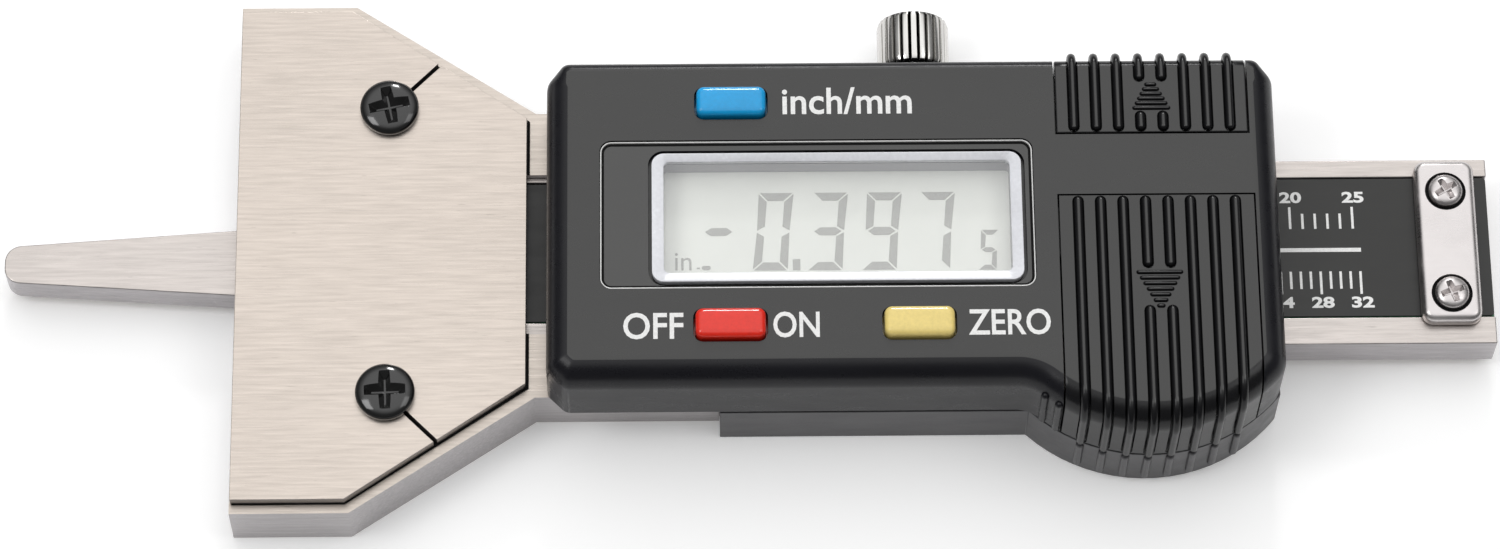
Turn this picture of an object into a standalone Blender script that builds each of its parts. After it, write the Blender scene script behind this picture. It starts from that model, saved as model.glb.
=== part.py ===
"""Digital tire tread gauge, lying on its back: a steel foot, a beam with a probe that slides
through it, and a plastic housing with a display, three buttons, and two sliding covers.

Sizes are in millimetres and MM turns them into metres. They are measured from the datum: X from
the measuring face of the foot, along the beam; Y from the beam's centreline; Z from the back
plane. The datum empty moves all of it, so that the world origin is under the middle of the gauge.
"""

import math

import bmesh
import bpy
from mathutils import Matrix, Vector

MM = 0.001
GAP = 0.1  # between neighbours that touch on the real gauge

# Steel frame: foot, neck and rails in one piece
FOOT_HALF = 21.9
FOOT_STRAIGHT = 9.3
FOOT_TAPER_END = 23.8
NECK_HALF = 12.3
RAIL_START = 38.3
RAIL_HALF = 11.9
FRAME_END = 78.0
FRAME_THICK = 5.2
FACE_WALL = 3.2

# Beam and probe
BEAM_HALF = 8.0
BEAM_BACK = 1.2
BEAM_FRONT = 4.6
BEAM_SHOULDER = 15.2
BEAM_END = 100.0
PROBE_TIP = -18.5
PROBE_TIP_HALF = 1.55
PROBE_HALF = 2.95
PROBE_TAPER_END = 1.5
PROBE_FRONT = 3.9
LABEL_HALF = 5.97
LABEL_START = 17.0
LABEL_WINDOW_HALF = 6.9
GROOVE_FLOOR = 4.0
GIB_SCREWS = (44.0, 66.0)
GIB_SCREW_Z = 2.9

# Foot cover
COVER_BACK = 5.3
COVER_FRONT = 6.2
COVER_HALF = 21.1
FOOT_SCREWS = ((12.1, 12.3), (12.1, -12.3))
SLIT_WIDTH = 0.3
SLIT_LENGTH = 10.0

# End stop on the beam
STOP_X = (94.05, 98.85)
STOP_Y = (-6.5, 7.45)
STOP_FRONT = 5.9
STOP_SCREW_X = 96.65
STOP_SCREW_Y = (4.65, -4.2)

# Plastic housing
SHELL_LEFT = 24.8
SHELL_RIGHT = 82.5
SHELL_SIDE = 13.7
SHELL_BACK = 5.3
SHELL_FRONT = 12.2
SHELL_CORNER = 1.8
SHELL_ROUND = 1.5
SHELL_WALL = 1.2
SHELL_CEILING = 11.0
BULGE_X = 72.0
BULGE_Y = -4.0
BULGE_RADIUS = 13.5
REAR_FRONT = 5.1
BOSSES = ((29.5, 10.0), (29.5, -10.0), (80.2, 10.4), (80.2, -10.4))
BOSS_RADIUS = 1.6
PILOT_RADIUS = 0.75

# Display
PANEL = ((29.0, 63.15), (-6.05, 6.65))
PANEL_FLOOR = 11.85
LENS = ((33.1, 62.2), (-5.4, 5.6))
VIEW = ((34.0, 61.35), (-4.6, 5.0))
LENS_FRONT = 12.05
LEDGE_TOP = 11.3
BOARD = (5.45, 6.25)
ZEBRA_TOP = 8.2

# Buttons: name, centre X, centre Y
BUTTONS = (("blue_button", 39.4, 9.85), ("red_button", 39.2, -9.15), ("yellow_button", 53.9, -9.1))
BUTTON_LONG = 5.5
BUTTON_WIDE = 2.5
BUTTON_TOP = 13.0

# Sliding covers: X span, Y of the inner edge
BATTERY_X = (65.1, 80.4)
BATTERY_EDGE = 1.65
DATA_X = (65.1, 80.2)
DATA_EDGE = 7.1
LID_BACK = 11.05
LID_SIDE = 12.4
RIB_COUNT = 8
RIB_PITCH = 1.76
RIB_WIDE = 0.65
RIB_HIGH = 0.4
CELL = (72.0, -9.6)
CELL_RADIUS = 5.8

# Thumb lock screw
LOCK_X = 54.3
LOCK_Z = 3.2
LOCK_TIP = 9.7
LOCK_COLLAR = 15.5
LOCK_KNURL = 16.6
LOCK_TOP = 21.1


def new_collection(name):
    collection = bpy.data.collections.new(name)
    bpy.context.scene.collection.children.link(collection)
    return collection


for old in list(bpy.data.objects):
    bpy.data.objects.remove(old)
PARTS = new_collection("tire_tread_gauge")
CUTTERS = new_collection("cutters")
DATUM = bpy.data.objects.new("gauge_datum", None)
PARTS.objects.link(DATUM)
DATUM.location.x = -(PROBE_TIP + BEAM_END) / 2 * MM


def new_material(name, colour, roughness, metallic=0.0, alpha=1.0):
    material = bpy.data.materials.new(name)
    material.use_nodes = True
    shader = material.node_tree.nodes["Principled BSDF"]
    shader.inputs["Base Color"].default_value = (*colour, 1.0)
    shader.inputs["Roughness"].default_value = roughness
    shader.inputs["Metallic"].default_value = metallic
    shader.inputs["Alpha"].default_value = alpha
    return material


STEEL = new_material("brushed_steel", (0.62, 0.58, 0.54), 0.35, 1.0)
NICKEL = new_material("nickel", (0.80, 0.79, 0.77), 0.18, 1.0)
BLACK_STEEL = new_material("black_steel", (0.03, 0.03, 0.03), 0.25, 0.8)
BRASS = new_material("brass", (0.75, 0.55, 0.25), 0.35, 1.0)
CHARCOAL = new_material("charcoal_plastic", (0.045, 0.045, 0.045), 0.42)
LABEL_BLACK = new_material("label_black", (0.035, 0.035, 0.035), 0.5)
BOARD_GREEN = new_material("board_green", (0.02, 0.16, 0.07), 0.4)
CHIP_BLACK = new_material("chip_black", (0.02, 0.02, 0.02), 0.5)
ELASTOMER = new_material("elastomer", (0.85, 0.55, 0.60), 0.7)
CLEAR = new_material("clear_lens", (0.95, 0.97, 0.97), 0.05, 0.0, 0.3)
LCD_GREY = new_material("lcd_glass", (0.68, 0.70, 0.66), 0.15)
REFLECTOR = new_material("reflector", (0.80, 0.80, 0.78), 0.3, 0.6)
BLUE = new_material("blue_plastic", (0.02, 0.22, 0.62), 0.3)
RED = new_material("red_plastic", (0.70, 0.04, 0.03), 0.3)
YELLOW = new_material("yellow_plastic", (0.80, 0.62, 0.17), 0.3)
BUTTON_COLOURS = {"blue_button": BLUE, "red_button": RED, "yellow_button": YELLOW}


def add_part(name, mesh, material):
    """A visible sub-part, at the datum."""
    part = bpy.data.objects.new(name, mesh)
    PARTS.objects.link(part)
    part.parent = DATUM
    mesh.materials.append(material)
    mesh.shade_smooth()
    mesh.set_sharp_from_angle(angle=math.radians(30))
    return part


def add_cutter(name, mesh):
    """A hidden helper for Booleans, at the datum."""
    cutter = bpy.data.objects.new(name, mesh)
    CUTTERS.objects.link(cutter)
    cutter.parent = DATUM
    cutter.hide_render = True
    cutter.display_type = "WIRE"
    return cutter


def boolean(part, helper, operation="DIFFERENCE"):
    modifier = part.modifiers.new(helper.name, "BOOLEAN")
    modifier.operation = operation
    modifier.solver = "EXACT"
    modifier.object = helper


def set_origin(part, point):
    """Puts the part's origin at this point of the datum, without moving its shape."""
    origin = Vector(point) * MM
    part.data.transform(Matrix.Translation(-origin))
    part.location = origin


def mesh_from(bm, name):
    bmesh.ops.recalc_face_normals(bm, faces=bm.faces)
    mesh = bpy.data.meshes.new(name)
    bm.to_mesh(mesh)
    bm.free()
    return mesh


def box_mesh(name, *boxes):
    """One mesh of boxes, each given as its X, Y and Z spans."""
    bm = bmesh.new()
    for spans in boxes:
        size = Vector([high - low for low, high in spans]) * MM
        centre = Vector([(low + high) / 2 for low, high in spans]) * MM
        bmesh.ops.create_cube(bm, matrix=Matrix.LocRotScale(centre, None, size))
    return mesh_from(bm, name)


def cylinder_mesh(name, places, radius, z_span, sides=24):
    """One mesh of upright cylinders, one at each place."""
    bm = bmesh.new()
    low, high = z_span
    for x, y in places:
        centre = Vector((x, y, (low + high) / 2)) * MM
        bmesh.ops.create_cone(
            bm,
            cap_ends=True,
            segments=sides,
            radius1=radius * MM,
            radius2=radius * MM,
            depth=(high - low) * MM,
            matrix=Matrix.Translation(centre),
        )
    return mesh_from(bm, name)


def cross_cylinder_mesh(name, x, z, radius, y_span, sides=24):
    """A cylinder along Y."""
    mesh = cylinder_mesh(name, [(0, 0)], radius, y_span, sides)
    mesh.transform(Matrix.Rotation(math.radians(-90), 4, "X"))
    mesh.transform(Matrix.Translation(Vector((x, 0, z)) * MM))
    return mesh


def rounded(corners, steps=4):
    """An outline from (x, y, radius) corners, with an arc at each corner that has a radius."""
    points = []
    for i, (x, y, radius) in enumerate(corners):
        corner = Vector((x, y))
        if radius == 0:
            points.append(corner)
            continue
        before = (Vector(corners[i - 1][:2]) - corner).normalized()
        after = (Vector(corners[(i + 1) % len(corners)][:2]) - corner).normalized()
        half_angle = before.angle(after) / 2
        centre = corner + (before + after).normalized() * radius / math.sin(half_angle)
        start = (corner + before * radius / math.tan(half_angle) - centre).normalized()
        end = (corner + after * radius / math.tan(half_angle) - centre).normalized()
        turns = [start.slerp(end, step / steps) for step in range(steps + 1)]
        points += [centre + turn * radius for turn in turns]
    return points


def rectangle(x_span, y_span, radius=0.0, steps=4):
    (x0, x1), (y0, y1) = x_span, y_span
    corners = [(x0, y0, radius), (x1, y0, radius), (x1, y1, radius), (x0, y1, radius)]
    return rounded(corners, steps)


def outline_mesh(name, outline, z_span):
    """A flat outline filled and extruded between two heights."""
    low, high = z_span
    curve = bpy.data.curves.new(name, "CURVE")
    curve.dimensions = "2D"
    curve.fill_mode = "BOTH"
    curve.extrude = (high - low) / 2 * MM
    spline = curve.splines.new("POLY")
    spline.points.add(len(outline) - 1)
    for point, (x, y) in zip(spline.points, outline):
        point.co = (x * MM, y * MM, 0, 1)
    spline.use_cyclic_u = True
    guide = bpy.data.objects.new(name, curve)
    CUTTERS.objects.link(guide)
    evaluated = guide.evaluated_get(bpy.context.evaluated_depsgraph_get())
    raw = bpy.data.meshes.new_from_object(evaluated)
    bm = bmesh.new()
    bm.from_mesh(raw)
    bmesh.ops.remove_doubles(bm, verts=bm.verts, dist=0.0005 * MM)
    bmesh.ops.dissolve_limit(bm, angle_limit=math.radians(0.5), verts=bm.verts, edges=bm.edges)
    bmesh.ops.translate(bm, verts=bm.verts, vec=(0, 0, (low + high) / 2 * MM))
    bpy.data.objects.remove(guide)
    bpy.data.curves.remove(curve)
    bpy.data.meshes.remove(raw)
    return mesh_from(bm, name)


def round_top(mesh, height, width, segments=3):
    """Bevels every edge that lies in the mesh's top face."""
    bm = bmesh.new()
    bm.from_mesh(mesh)
    level = (height - 0.001) * MM
    rim = [e for e in bm.edges if all(v.co.z > level for v in e.verts) and e.calc_face_angle() > 0.5]
    bmesh.ops.bevel(bm, geom=rim, offset=width * MM, segments=segments, profile=0.5, affect="EDGES")
    bm.to_mesh(mesh)
    bm.free()
    return mesh


def turned_mesh(name, profile):
    """The half profile of a turned part, as (radius, height) points from top to bottom."""
    mesh = bpy.data.meshes.new(name)
    points = [(radius * MM, 0, height * MM) for radius, height in profile]
    mesh.from_pydata(points, [(i, i + 1) for i in range(len(points) - 1)], [])
    return mesh


def add_turned(name, profile, material, place, steps=24, axis="Z"):
    """A turned part whose origin is on its axis. Axis Y points its top towards +Y."""
    part = bpy.data.objects.new(name, turned_mesh(name, profile))
    PARTS.objects.link(part)
    part.parent = DATUM
    part.location = Vector(place) * MM
    if axis == "Y":
        part.rotation_euler.x = math.radians(-90)
    part.data.materials.append(material)
    turn = part.modifiers.new("turn", "SCREW")
    turn.steps = steps
    turn.render_steps = steps
    turn.use_merge_vertices = True
    turn.merge_threshold = 1e-6
    turn.use_smooth_shade = False
    return part


def cross_recess(part, place, span, width, depth, top):
    """Cuts a cross-shaped driver recess into a screw head that faces up."""
    x, y = place
    arm, half = span / 2, width / 2
    along = ((x - arm, x + arm), (y - half, y + half), (top - depth, top + 1))
    across = ((x - half, x + half), (y - arm, y + arm), (top - depth, top + 1))
    for label, spans in (("along", along), ("across", across)):
        boolean(part, add_cutter(f"{part.name}_recess_{label}", box_mesh(part.name, spans)))


def pan_screw(name, place, seat, head, shank, material):
    """A pan-head screw that points down: head is (radius, height), shank is (radius, tip height)."""
    head_radius, head_height = head
    shank_radius, tip = shank
    top = seat + head_height
    profile = [
        (0, top),
        (head_radius * 0.55, top),
        (head_radius * 0.86, top - head_height * 0.2),
        (head_radius, top - head_height * 0.6),
        (head_radius, seat),
        (shank_radius, seat),
        (shank_radius, tip),
        (0, tip),
    ]
    screw = add_turned(name, profile, material, (*place, 0))
    cross_recess(screw, place, head_radius * 1.5, head_radius * 0.4, head_height * 0.6, top)
    return screw


def back_screw(name, place, head_radius, head_height, shank_radius, tip, material):
    """A countersunk screw flush with the back plane, pointing up."""
    base = 0.05
    profile = [
        (0, tip),
        (shank_radius, tip),
        (shank_radius, base + head_height),
        (head_radius, base),
        (0, base),
    ]
    return add_turned(name, profile, material, (*place, 0), steps=16)


def shell_outline(grow=0.0, left=SHELL_LEFT):
    """The housing's outline seen from the front: chamfered corners and the battery bulge."""
    x0, x1, side = left - grow, SHELL_RIGHT + grow, SHELL_SIDE + grow
    radius = BULGE_RADIUS + grow
    drop = side + BULGE_Y
    reach = x1 - BULGE_X
    start = math.atan2(-drop, -math.sqrt(radius**2 - drop**2))
    end = math.atan2(-math.sqrt(radius**2 - reach**2), reach)
    steps = 20
    angles = [start + (end - start) * step / steps for step in range(steps + 1)]
    bulge = [
        Vector((BULGE_X + radius * math.cos(angle), BULGE_Y + radius * math.sin(angle)))
        for angle in angles
    ]
    corner = SHELL_CORNER
    return [
        Vector((x0 + corner, -side)),
        *bulge,
        Vector((x1, side - corner)),
        Vector((x1 - corner, side)),
        Vector((x0 + corner, side)),
        Vector((x0, side - corner)),
        Vector((x0, -side + corner)),
    ]


def shell_solid(name, grow=0.0):
    """The housing's full outer volume, with its front edge rounded."""
    front = SHELL_FRONT + grow
    mesh = outline_mesh(name, shell_outline(grow), (SHELL_BACK, front))
    return round_top(mesh, front, SHELL_ROUND + grow)


def make_frame():
    half = [
        (0.0, FOOT_HALF),
        (FOOT_STRAIGHT, FOOT_HALF),
        (FOOT_TAPER_END, NECK_HALF),
        (RAIL_START, NECK_HALF),
        (RAIL_START, RAIL_HALF),
        (FRAME_END, RAIL_HALF),
    ]
    outline = [Vector((x, -y)) for x, y in half] + [Vector(point) for point in reversed(half)]
    frame = add_part("frame_body", outline_mesh("frame_body", outline, (0, FRAME_THICK)), STEEL)
    channel_top = BEAM_FRONT + GAP
    channel = ((FACE_WALL, 90), (-BEAM_HALF - 0.15, BEAM_HALF + 0.65), (1.1, channel_top))
    plate_seat = ((32.9, 77.1), (-11.3, 11.3), (-1, 1.15))
    probe_slot = ((-1, FACE_WALL + 1), (-3.15, 3.15), (1.1, PROBE_FRONT + 0.15))
    window = ((14.5, 90), (-LABEL_WINDOW_HALF, LABEL_WINDOW_HALF), (4, 7))
    for label, spans in (
        ("channel", channel),
        ("plate_seat", plate_seat),
        ("probe_slot", probe_slot),
        ("window", window),
    ):
        boolean(frame, add_cutter(f"frame_{label}", box_mesh(label, spans)))
    holes = cylinder_mesh("holes", FOOT_SCREWS, 1.35, (1.4, 7))
    boolean(frame, add_cutter("frame_foot_holes", holes))
    holes = cylinder_mesh("holes", BOSSES[:2], 1.0, (-1, 7), 16)
    boolean(frame, add_cutter("frame_housing_holes", holes))
    holes = cylinder_mesh("holes", BOSSES[:2], 1.6, (-1, 1.0), 16)
    boolean(frame, add_cutter("frame_housing_head_seats", holes))
    holes = cylinder_mesh("holes", plate_screw_places(), 0.75, (0, 2.8), 16)
    boolean(frame, add_cutter("frame_plate_screw_holes", holes))
    bore = cross_cylinder_mesh("bore", LOCK_X, LOCK_Z, 1.55, (8, 13))
    boolean(frame, add_cutter("frame_lock_bore", bore))
    for index, x in enumerate(GIB_SCREWS):
        bore = cross_cylinder_mesh("bore", x, GIB_SCREW_Z, 1.1, (8, 13), 16)
        boolean(frame, add_cutter(f"frame_gib_bore_{index}", bore))


def plate_screw_places():
    return [(x, y) for x in (36.5, 73.5) for y in (9.8, -9.8)]


def make_foot_cover():
    half = [(0.1, COVER_HALF), (9.0, COVER_HALF), (23.1, 11.5)]
    outline = [Vector((x, -y)) for x, y in half] + [Vector(point) for point in reversed(half)]
    mesh = outline_mesh("foot_cover", outline, (COVER_BACK, COVER_FRONT))
    cover = add_part("foot_cover", mesh, STEEL)
    holes = cylinder_mesh("holes", FOOT_SCREWS, 1.4, (4, 7))
    boolean(cover, add_cutter("foot_cover_holes", holes))
    for (x, y), label in zip(FOOT_SCREWS, ("upper", "lower")):
        slit = ((0, SLIT_LENGTH), (-SLIT_WIDTH / 2, SLIT_WIDTH / 2), (4, 7))
        cutter = add_cutter(f"foot_cover_slit_{label}", box_mesh("slit", slit))
        cutter.location = Vector((x, y, 0)) * MM
        cutter.rotation_euler.z = math.copysign(math.radians(45), y)
        boolean(cover, cutter)
        seat = COVER_FRONT + 0.05
        pan_screw(f"foot_screw_{label}", (x, y), seat, (2.35, 1.1), (1.25, 1.6), BLACK_STEEL)


def beam_parent():
    """The empty on the beam's centreline that carries all that slides with it."""
    carrier = bpy.data.objects.new("beam_carrier", None)
    PARTS.objects.link(carrier)
    carrier.parent = DATUM
    carrier.location = Vector((0, 0, (BEAM_BACK + BEAM_FRONT) / 2)) * MM
    return carrier


def make_beam():
    probe = [
        (PROBE_TIP, -PROBE_TIP_HALF, 1.3),
        (PROBE_TAPER_END, -PROBE_HALF, 0),
        (BEAM_SHOULDER + 1, -PROBE_HALF, 0),
        (BEAM_SHOULDER + 1, PROBE_HALF, 0),
        (PROBE_TAPER_END, PROBE_HALF, 0),
        (PROBE_TIP, PROBE_TIP_HALF, 1.3),
    ]
    bar = ((BEAM_SHOULDER, BEAM_END), (-BEAM_HALF, BEAM_HALF), (BEAM_BACK, BEAM_FRONT))
    beam = add_part("beam", box_mesh("beam", bar), STEEL)
    probe_mesh = outline_mesh("probe", rounded(probe, 5), (BEAM_BACK, PROBE_FRONT))
    boolean(beam, add_cutter("beam_probe", probe_mesh), "UNION")
    groove_half = LABEL_HALF + 0.1
    groove = ((LABEL_START - 0.1, BEAM_END + 1), (-groove_half, groove_half), (GROOVE_FLOOR, 6))
    boolean(beam, add_cutter("beam_groove", box_mesh("groove", groove)))
    stop_holes = [(STOP_SCREW_X, y) for y in STOP_SCREW_Y]
    holes = cylinder_mesh("holes", stop_holes, 0.95, (1.9, 7), 16)
    boolean(beam, add_cutter("beam_stop_holes", holes))
    wide_holes = add_cutter("label_holes", cylinder_mesh("holes", stop_holes, 1.1, (3, 7), 16))
    span = ((LABEL_START, BEAM_END - 0.1), (-LABEL_HALF, LABEL_HALF))
    strip = add_part("scale_strip", box_mesh("scale_strip", (*span, (4.05, 4.3))), BOARD_GREEN)
    label = add_part("scale_label", box_mesh("scale_label", (*span, (4.35, 4.55))), LABEL_BLACK)
    stop_outline = rectangle(STOP_X, STOP_Y, 0.9)
    stop_mesh = outline_mesh("end_stop", stop_outline, (BEAM_FRONT + GAP, STOP_FRONT))
    stop = add_part("end_stop", round_top(stop_mesh, STOP_FRONT, 0.3, 2), NICKEL)
    for layer in (strip, label, stop):
        boolean(layer, wide_holes)
    layers = [beam, strip, label, stop]
    for place, name in zip(stop_holes, ("upper", "lower")):
        seat = STOP_FRONT + 0.05
        screw = pan_screw(f"end_stop_screw_{name}", place, seat, (1.5, 0.7), (0.85, 2.0), NICKEL)
        layers.append(screw)
    carrier = beam_parent()
    for layer in layers:
        layer.parent = carrier
        layer.location -= carrier.location


def make_guides():
    """The gib with its screws, and the plate that closes the back of the channel."""
    gib = ((30, 76), (BEAM_HALF + GAP, BEAM_HALF + 0.5), (1.3, 4.5))
    add_part("gib_strip", box_mesh("gib_strip", gib), BRASS)
    for x, side in zip(GIB_SCREWS, ("left", "right")):
        profile = [(0, 11.6), (0.95, 11.6), (0.95, 8.8), (0.6, 8.6), (0, 8.6)]
        add_turned(f"gib_screw_{side}", profile, BLACK_STEEL, (x, 0, GIB_SCREW_Z), 16, "Y")
    plate_mesh = outline_mesh("back_plate", rectangle((33, 77), (-11.2, 11.2), 0.8), (0, 1.0))
    plate = add_part("back_plate", plate_mesh, STEEL)
    holes = cylinder_mesh("holes", plate_screw_places(), 1.2, (-1, 2), 16)
    boolean(plate, add_cutter("back_plate_holes", holes))
    for index, place in enumerate(plate_screw_places(), 1):
        back_screw(f"back_plate_screw_{index}", place, 1.1, 0.5, 0.65, 2.6, STEEL)
    for place, side in zip(BOSSES[:2], ("upper", "lower")):
        back_screw(f"housing_screw_{side}", place, 1.5, 0.8, 0.6, 9.5, BLACK_STEEL)


def make_housing():
    housing = add_part("housing", shell_solid("housing"), CHARCOAL)
    cavity = outline_mesh("cavity", shell_outline(-SHELL_WALL), (0, SHELL_CEILING))
    boolean(housing, add_cutter("housing_cavity", cavity))
    bosses = cylinder_mesh("bosses", BOSSES, BOSS_RADIUS, (SHELL_BACK + GAP, LEDGE_TOP), 16)
    boolean(housing, add_cutter("housing_bosses", bosses), "UNION")
    deck_x, deck_z = (63.5, 81.8), (9.9, LEDGE_TOP)
    decks = box_mesh("decks", (deck_x, (-3.0, 3.4), deck_z), (deck_x, (5.8, 12.6), deck_z))
    boolean(housing, add_cutter("housing_decks", decks), "UNION")
    pilots = cylinder_mesh("pilots", BOSSES, PILOT_RADIUS, (0, 10), 16)
    boolean(housing, add_cutter("housing_pilots", pilots))
    lid_floor = LID_BACK - GAP
    for label, (x0, x1), y_top, y_side in (
        ("battery", BATTERY_X, (-30, BATTERY_EDGE + GAP), (-30, -LID_SIDE)),
        ("data", DATA_X, (DATA_EDGE - GAP, 30), (LID_SIDE, 30)),
    ):
        x_span = (x0 - GAP, x1 + GAP)
        top = box_mesh("top", (x_span, y_top, (lid_floor, 20)))
        side = box_mesh("side", (x_span, y_side, (0, 20)))
        boolean(housing, add_cutter(f"housing_{label}_top", top))
        boolean(housing, add_cutter(f"housing_{label}_side", side))
    port = box_mesh("port", ((68.3, 76.7), (9.2, 30), (9, 20)))
    boolean(housing, add_cutter("housing_port", port))
    lens_seat = [(low - GAP, high + GAP) for low, high in LENS]
    for label, spans, radius, floor in (
        ("panel", PANEL, 0.9, PANEL_FLOOR),
        ("lens_seat", lens_seat, 0.7, LEDGE_TOP),
        ("view", VIEW, 0.4, 8),
    ):
        pocket = outline_mesh(label, rectangle(*spans, radius), (floor, 20))
        boolean(housing, add_cutter(f"housing_{label}", pocket))
    for name, x, y in BUTTONS:
        hole = outline_mesh("hole", button_outline(x, y, 0.15), (8, 20))
        boolean(housing, add_cutter(f"housing_{name}_hole", hole))


def button_outline(x, y, grow=0.0):
    long_half, wide_half = BUTTON_LONG / 2 + grow, BUTTON_WIDE / 2 + grow
    return rectangle((x - long_half, x + long_half), (y - wide_half, y + wide_half), 0.6 + grow, 3)


def make_rear_cover():
    mesh = outline_mesh("rear_cover", shell_outline(left=RAIL_START - 5), (0, REAR_FRONT))
    cover = add_part("rear_cover", mesh, CHARCOAL)
    half = RAIL_HALF + 0.15
    frame_room = box_mesh("frame_room", ((0, FRAME_END + 0.2), (-half, half), (-1, 7)))
    neck_room = box_mesh("neck_room", ((0, RAIL_START + 0.05), (-30, 30), (-1, 7)))
    beam_way = box_mesh("beam_way", ((70, 90), (-BEAM_HALF - 0.4, BEAM_HALF + 0.4), (0.9, 4.9)))
    boolean(cover, add_cutter("rear_frame_room", frame_room))
    boolean(cover, add_cutter("rear_neck_room", neck_room))
    boolean(cover, add_cutter("rear_beam_way", beam_way))
    holes = cylinder_mesh("holes", BOSSES[2:], 0.8, (-1, 7), 16)
    boolean(cover, add_cutter("rear_screw_holes", holes))
    seats = cylinder_mesh("seats", BOSSES[2:], 1.6, (-1, 1.0), 16)
    boolean(cover, add_cutter("rear_screw_seats", seats))
    bore = cross_cylinder_mesh("bore", LOCK_X, LOCK_Z, 1.7, (8, 20))
    boolean(cover, add_cutter("rear_lock_bore", bore))
    for place, side in zip(BOSSES[2:], ("upper", "lower")):
        back_screw(f"rear_cover_screw_{side}", place, 1.5, 0.8, 0.65, 9.5, BLACK_STEEL)


def rib_comb(name, centre, y_span):
    first = centre - RIB_PITCH * (RIB_COUNT - 1) / 2
    lines = [first + RIB_PITCH * index for index in range(RIB_COUNT)]
    half = RIB_WIDE / 2
    return box_mesh(name, *[((x - half, x + half), y_span, (5.4, 20)) for x in lines])


def make_lids():
    """The battery cover and the data port cover: pieces of the housing's own surface, ribbed."""
    cavity = outline_mesh("lid_cavity", shell_outline(-0.9), (0, LID_BACK))
    lid_cavity = add_cutter("lid_cavity", cavity)
    for name, x_span, y_span, rib_span in (
        ("battery_cover", BATTERY_X, (-30, BATTERY_EDGE), (-30, BATTERY_EDGE + 0.001)),
        ("data_cover", DATA_X, (DATA_EDGE, 30), (DATA_EDGE - 0.001, 30)),
    ):
        lid = add_part(name, shell_solid(name), CHARCOAL)
        zone = box_mesh("zone", (x_span, y_span, (5.4, 20)))
        boolean(lid, add_cutter(f"{name}_zone", zone), "INTERSECT")
        ribs = add_cutter(f"{name}_ribs", shell_solid(f"{name}_ribs", RIB_HIGH))
        comb = rib_comb("comb", (x_span[0] + x_span[1]) / 2, rib_span)
        boolean(ribs, add_cutter(f"{name}_comb", comb), "INTERSECT")
        boolean(lid, ribs, "UNION")
        boolean(lid, lid_cavity)


def make_display():
    lens_mesh = outline_mesh("window_lens", rectangle(*LENS, 0.6), (LEDGE_TOP + GAP, LENS_FRONT))
    add_part("window_lens", round_top(lens_mesh, LENS_FRONT, 0.25, 2), CLEAR)
    glass = ((31.5, 63.0), (-7.2, 7.2), (ZEBRA_TOP + GAP, 9.7))
    add_part("lcd_glass", box_mesh("lcd_glass", glass), LCD_GREY)
    sheet = ((32.5, 62.0), (-5.2, 5.2), (ZEBRA_TOP - 0.15, ZEBRA_TOP))
    add_part("lcd_reflector", box_mesh("lcd_reflector", sheet), REFLECTOR)
    for side, y_span in (("upper", (5.6, 6.9)), ("lower", (-6.9, -5.6))):
        strip = ((32.5, 62.0), y_span, (BOARD[1] + GAP, ZEBRA_TOP))
        add_part(f"zebra_strip_{side}", box_mesh("zebra_strip", strip), ELASTOMER)


def make_board():
    """The circuit board and what is on it. A notch makes room for the button cell."""
    outline = [(32.0, -10.6), (65.2, -10.6), (65.2, -3.0), (77.8, -3.0), (77.8, 10.6), (32.0, 10.6)]
    mesh = outline_mesh("circuit_board", [Vector(point) for point in outline], BOARD)
    add_part("circuit_board", mesh, BOARD_GREEN)
    top = BOARD[1] + GAP
    chip = ((44.0, 52.0), (-4.0, 4.0), (top, 7.4))
    add_part("processor_chip", box_mesh("processor_chip", chip), CHIP_BLACK)
    port = ((68.6, 76.4), (9.5, 10.5), (top, 10.6))
    add_part("data_contacts", box_mesh("data_contacts", port), BRASS)
    for name, x, y in BUTTONS:
        profile = [(0, 6.8), (1.0, 6.75), (1.8, 6.5), (1.8, top), (0, top)]
        add_turned(name.replace("button", "dome"), profile, NICKEL, (x, y, 0), 16)


def make_buttons():
    for name, x, y in BUTTONS:
        cap_mesh = outline_mesh(name, button_outline(x, y), (10.5, BUTTON_TOP))
        button = add_part(name, round_top(cap_mesh, BUTTON_TOP, 0.45, 3), BUTTON_COLOURS[name])
        flange = outline_mesh("flange", button_outline(x, y, 0.7), (10.2, 10.85))
        stem = cylinder_mesh("stem", [(x, y)], 0.8, (7.3, 10.6), 12)
        boolean(button, add_cutter(f"{name}_flange", flange), "UNION")
        boolean(button, add_cutter(f"{name}_stem", stem), "UNION")
        set_origin(button, (x, y, BUTTON_TOP))


def make_battery():
    top, step = 10.9, 0.5
    profile = [
        (0, top),
        (CELL_RADIUS - 0.9, top),
        (CELL_RADIUS - 0.9, top - step),
        (CELL_RADIUS - 0.2, top - step),
        (CELL_RADIUS, top - step - 0.2),
        (CELL_RADIUS, 5.7),
        (CELL_RADIUS - 0.2, 5.5),
        (0, 5.5),
    ]
    add_turned("button_cell", profile, NICKEL, (*CELL, 0), 32)
    disc = [(0, 5.42), (4.5, 5.42), (4.5, 5.3), (0, 5.3)]
    add_turned("battery_contact_lower", disc, NICKEL, (*CELL, 0), 24)
    leaf = ((65.6, 65.8), (-12.0, -7.2), (5.6, 10.4))
    add_part("battery_contact_side", box_mesh("battery_contact_side", leaf), NICKEL)


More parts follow.
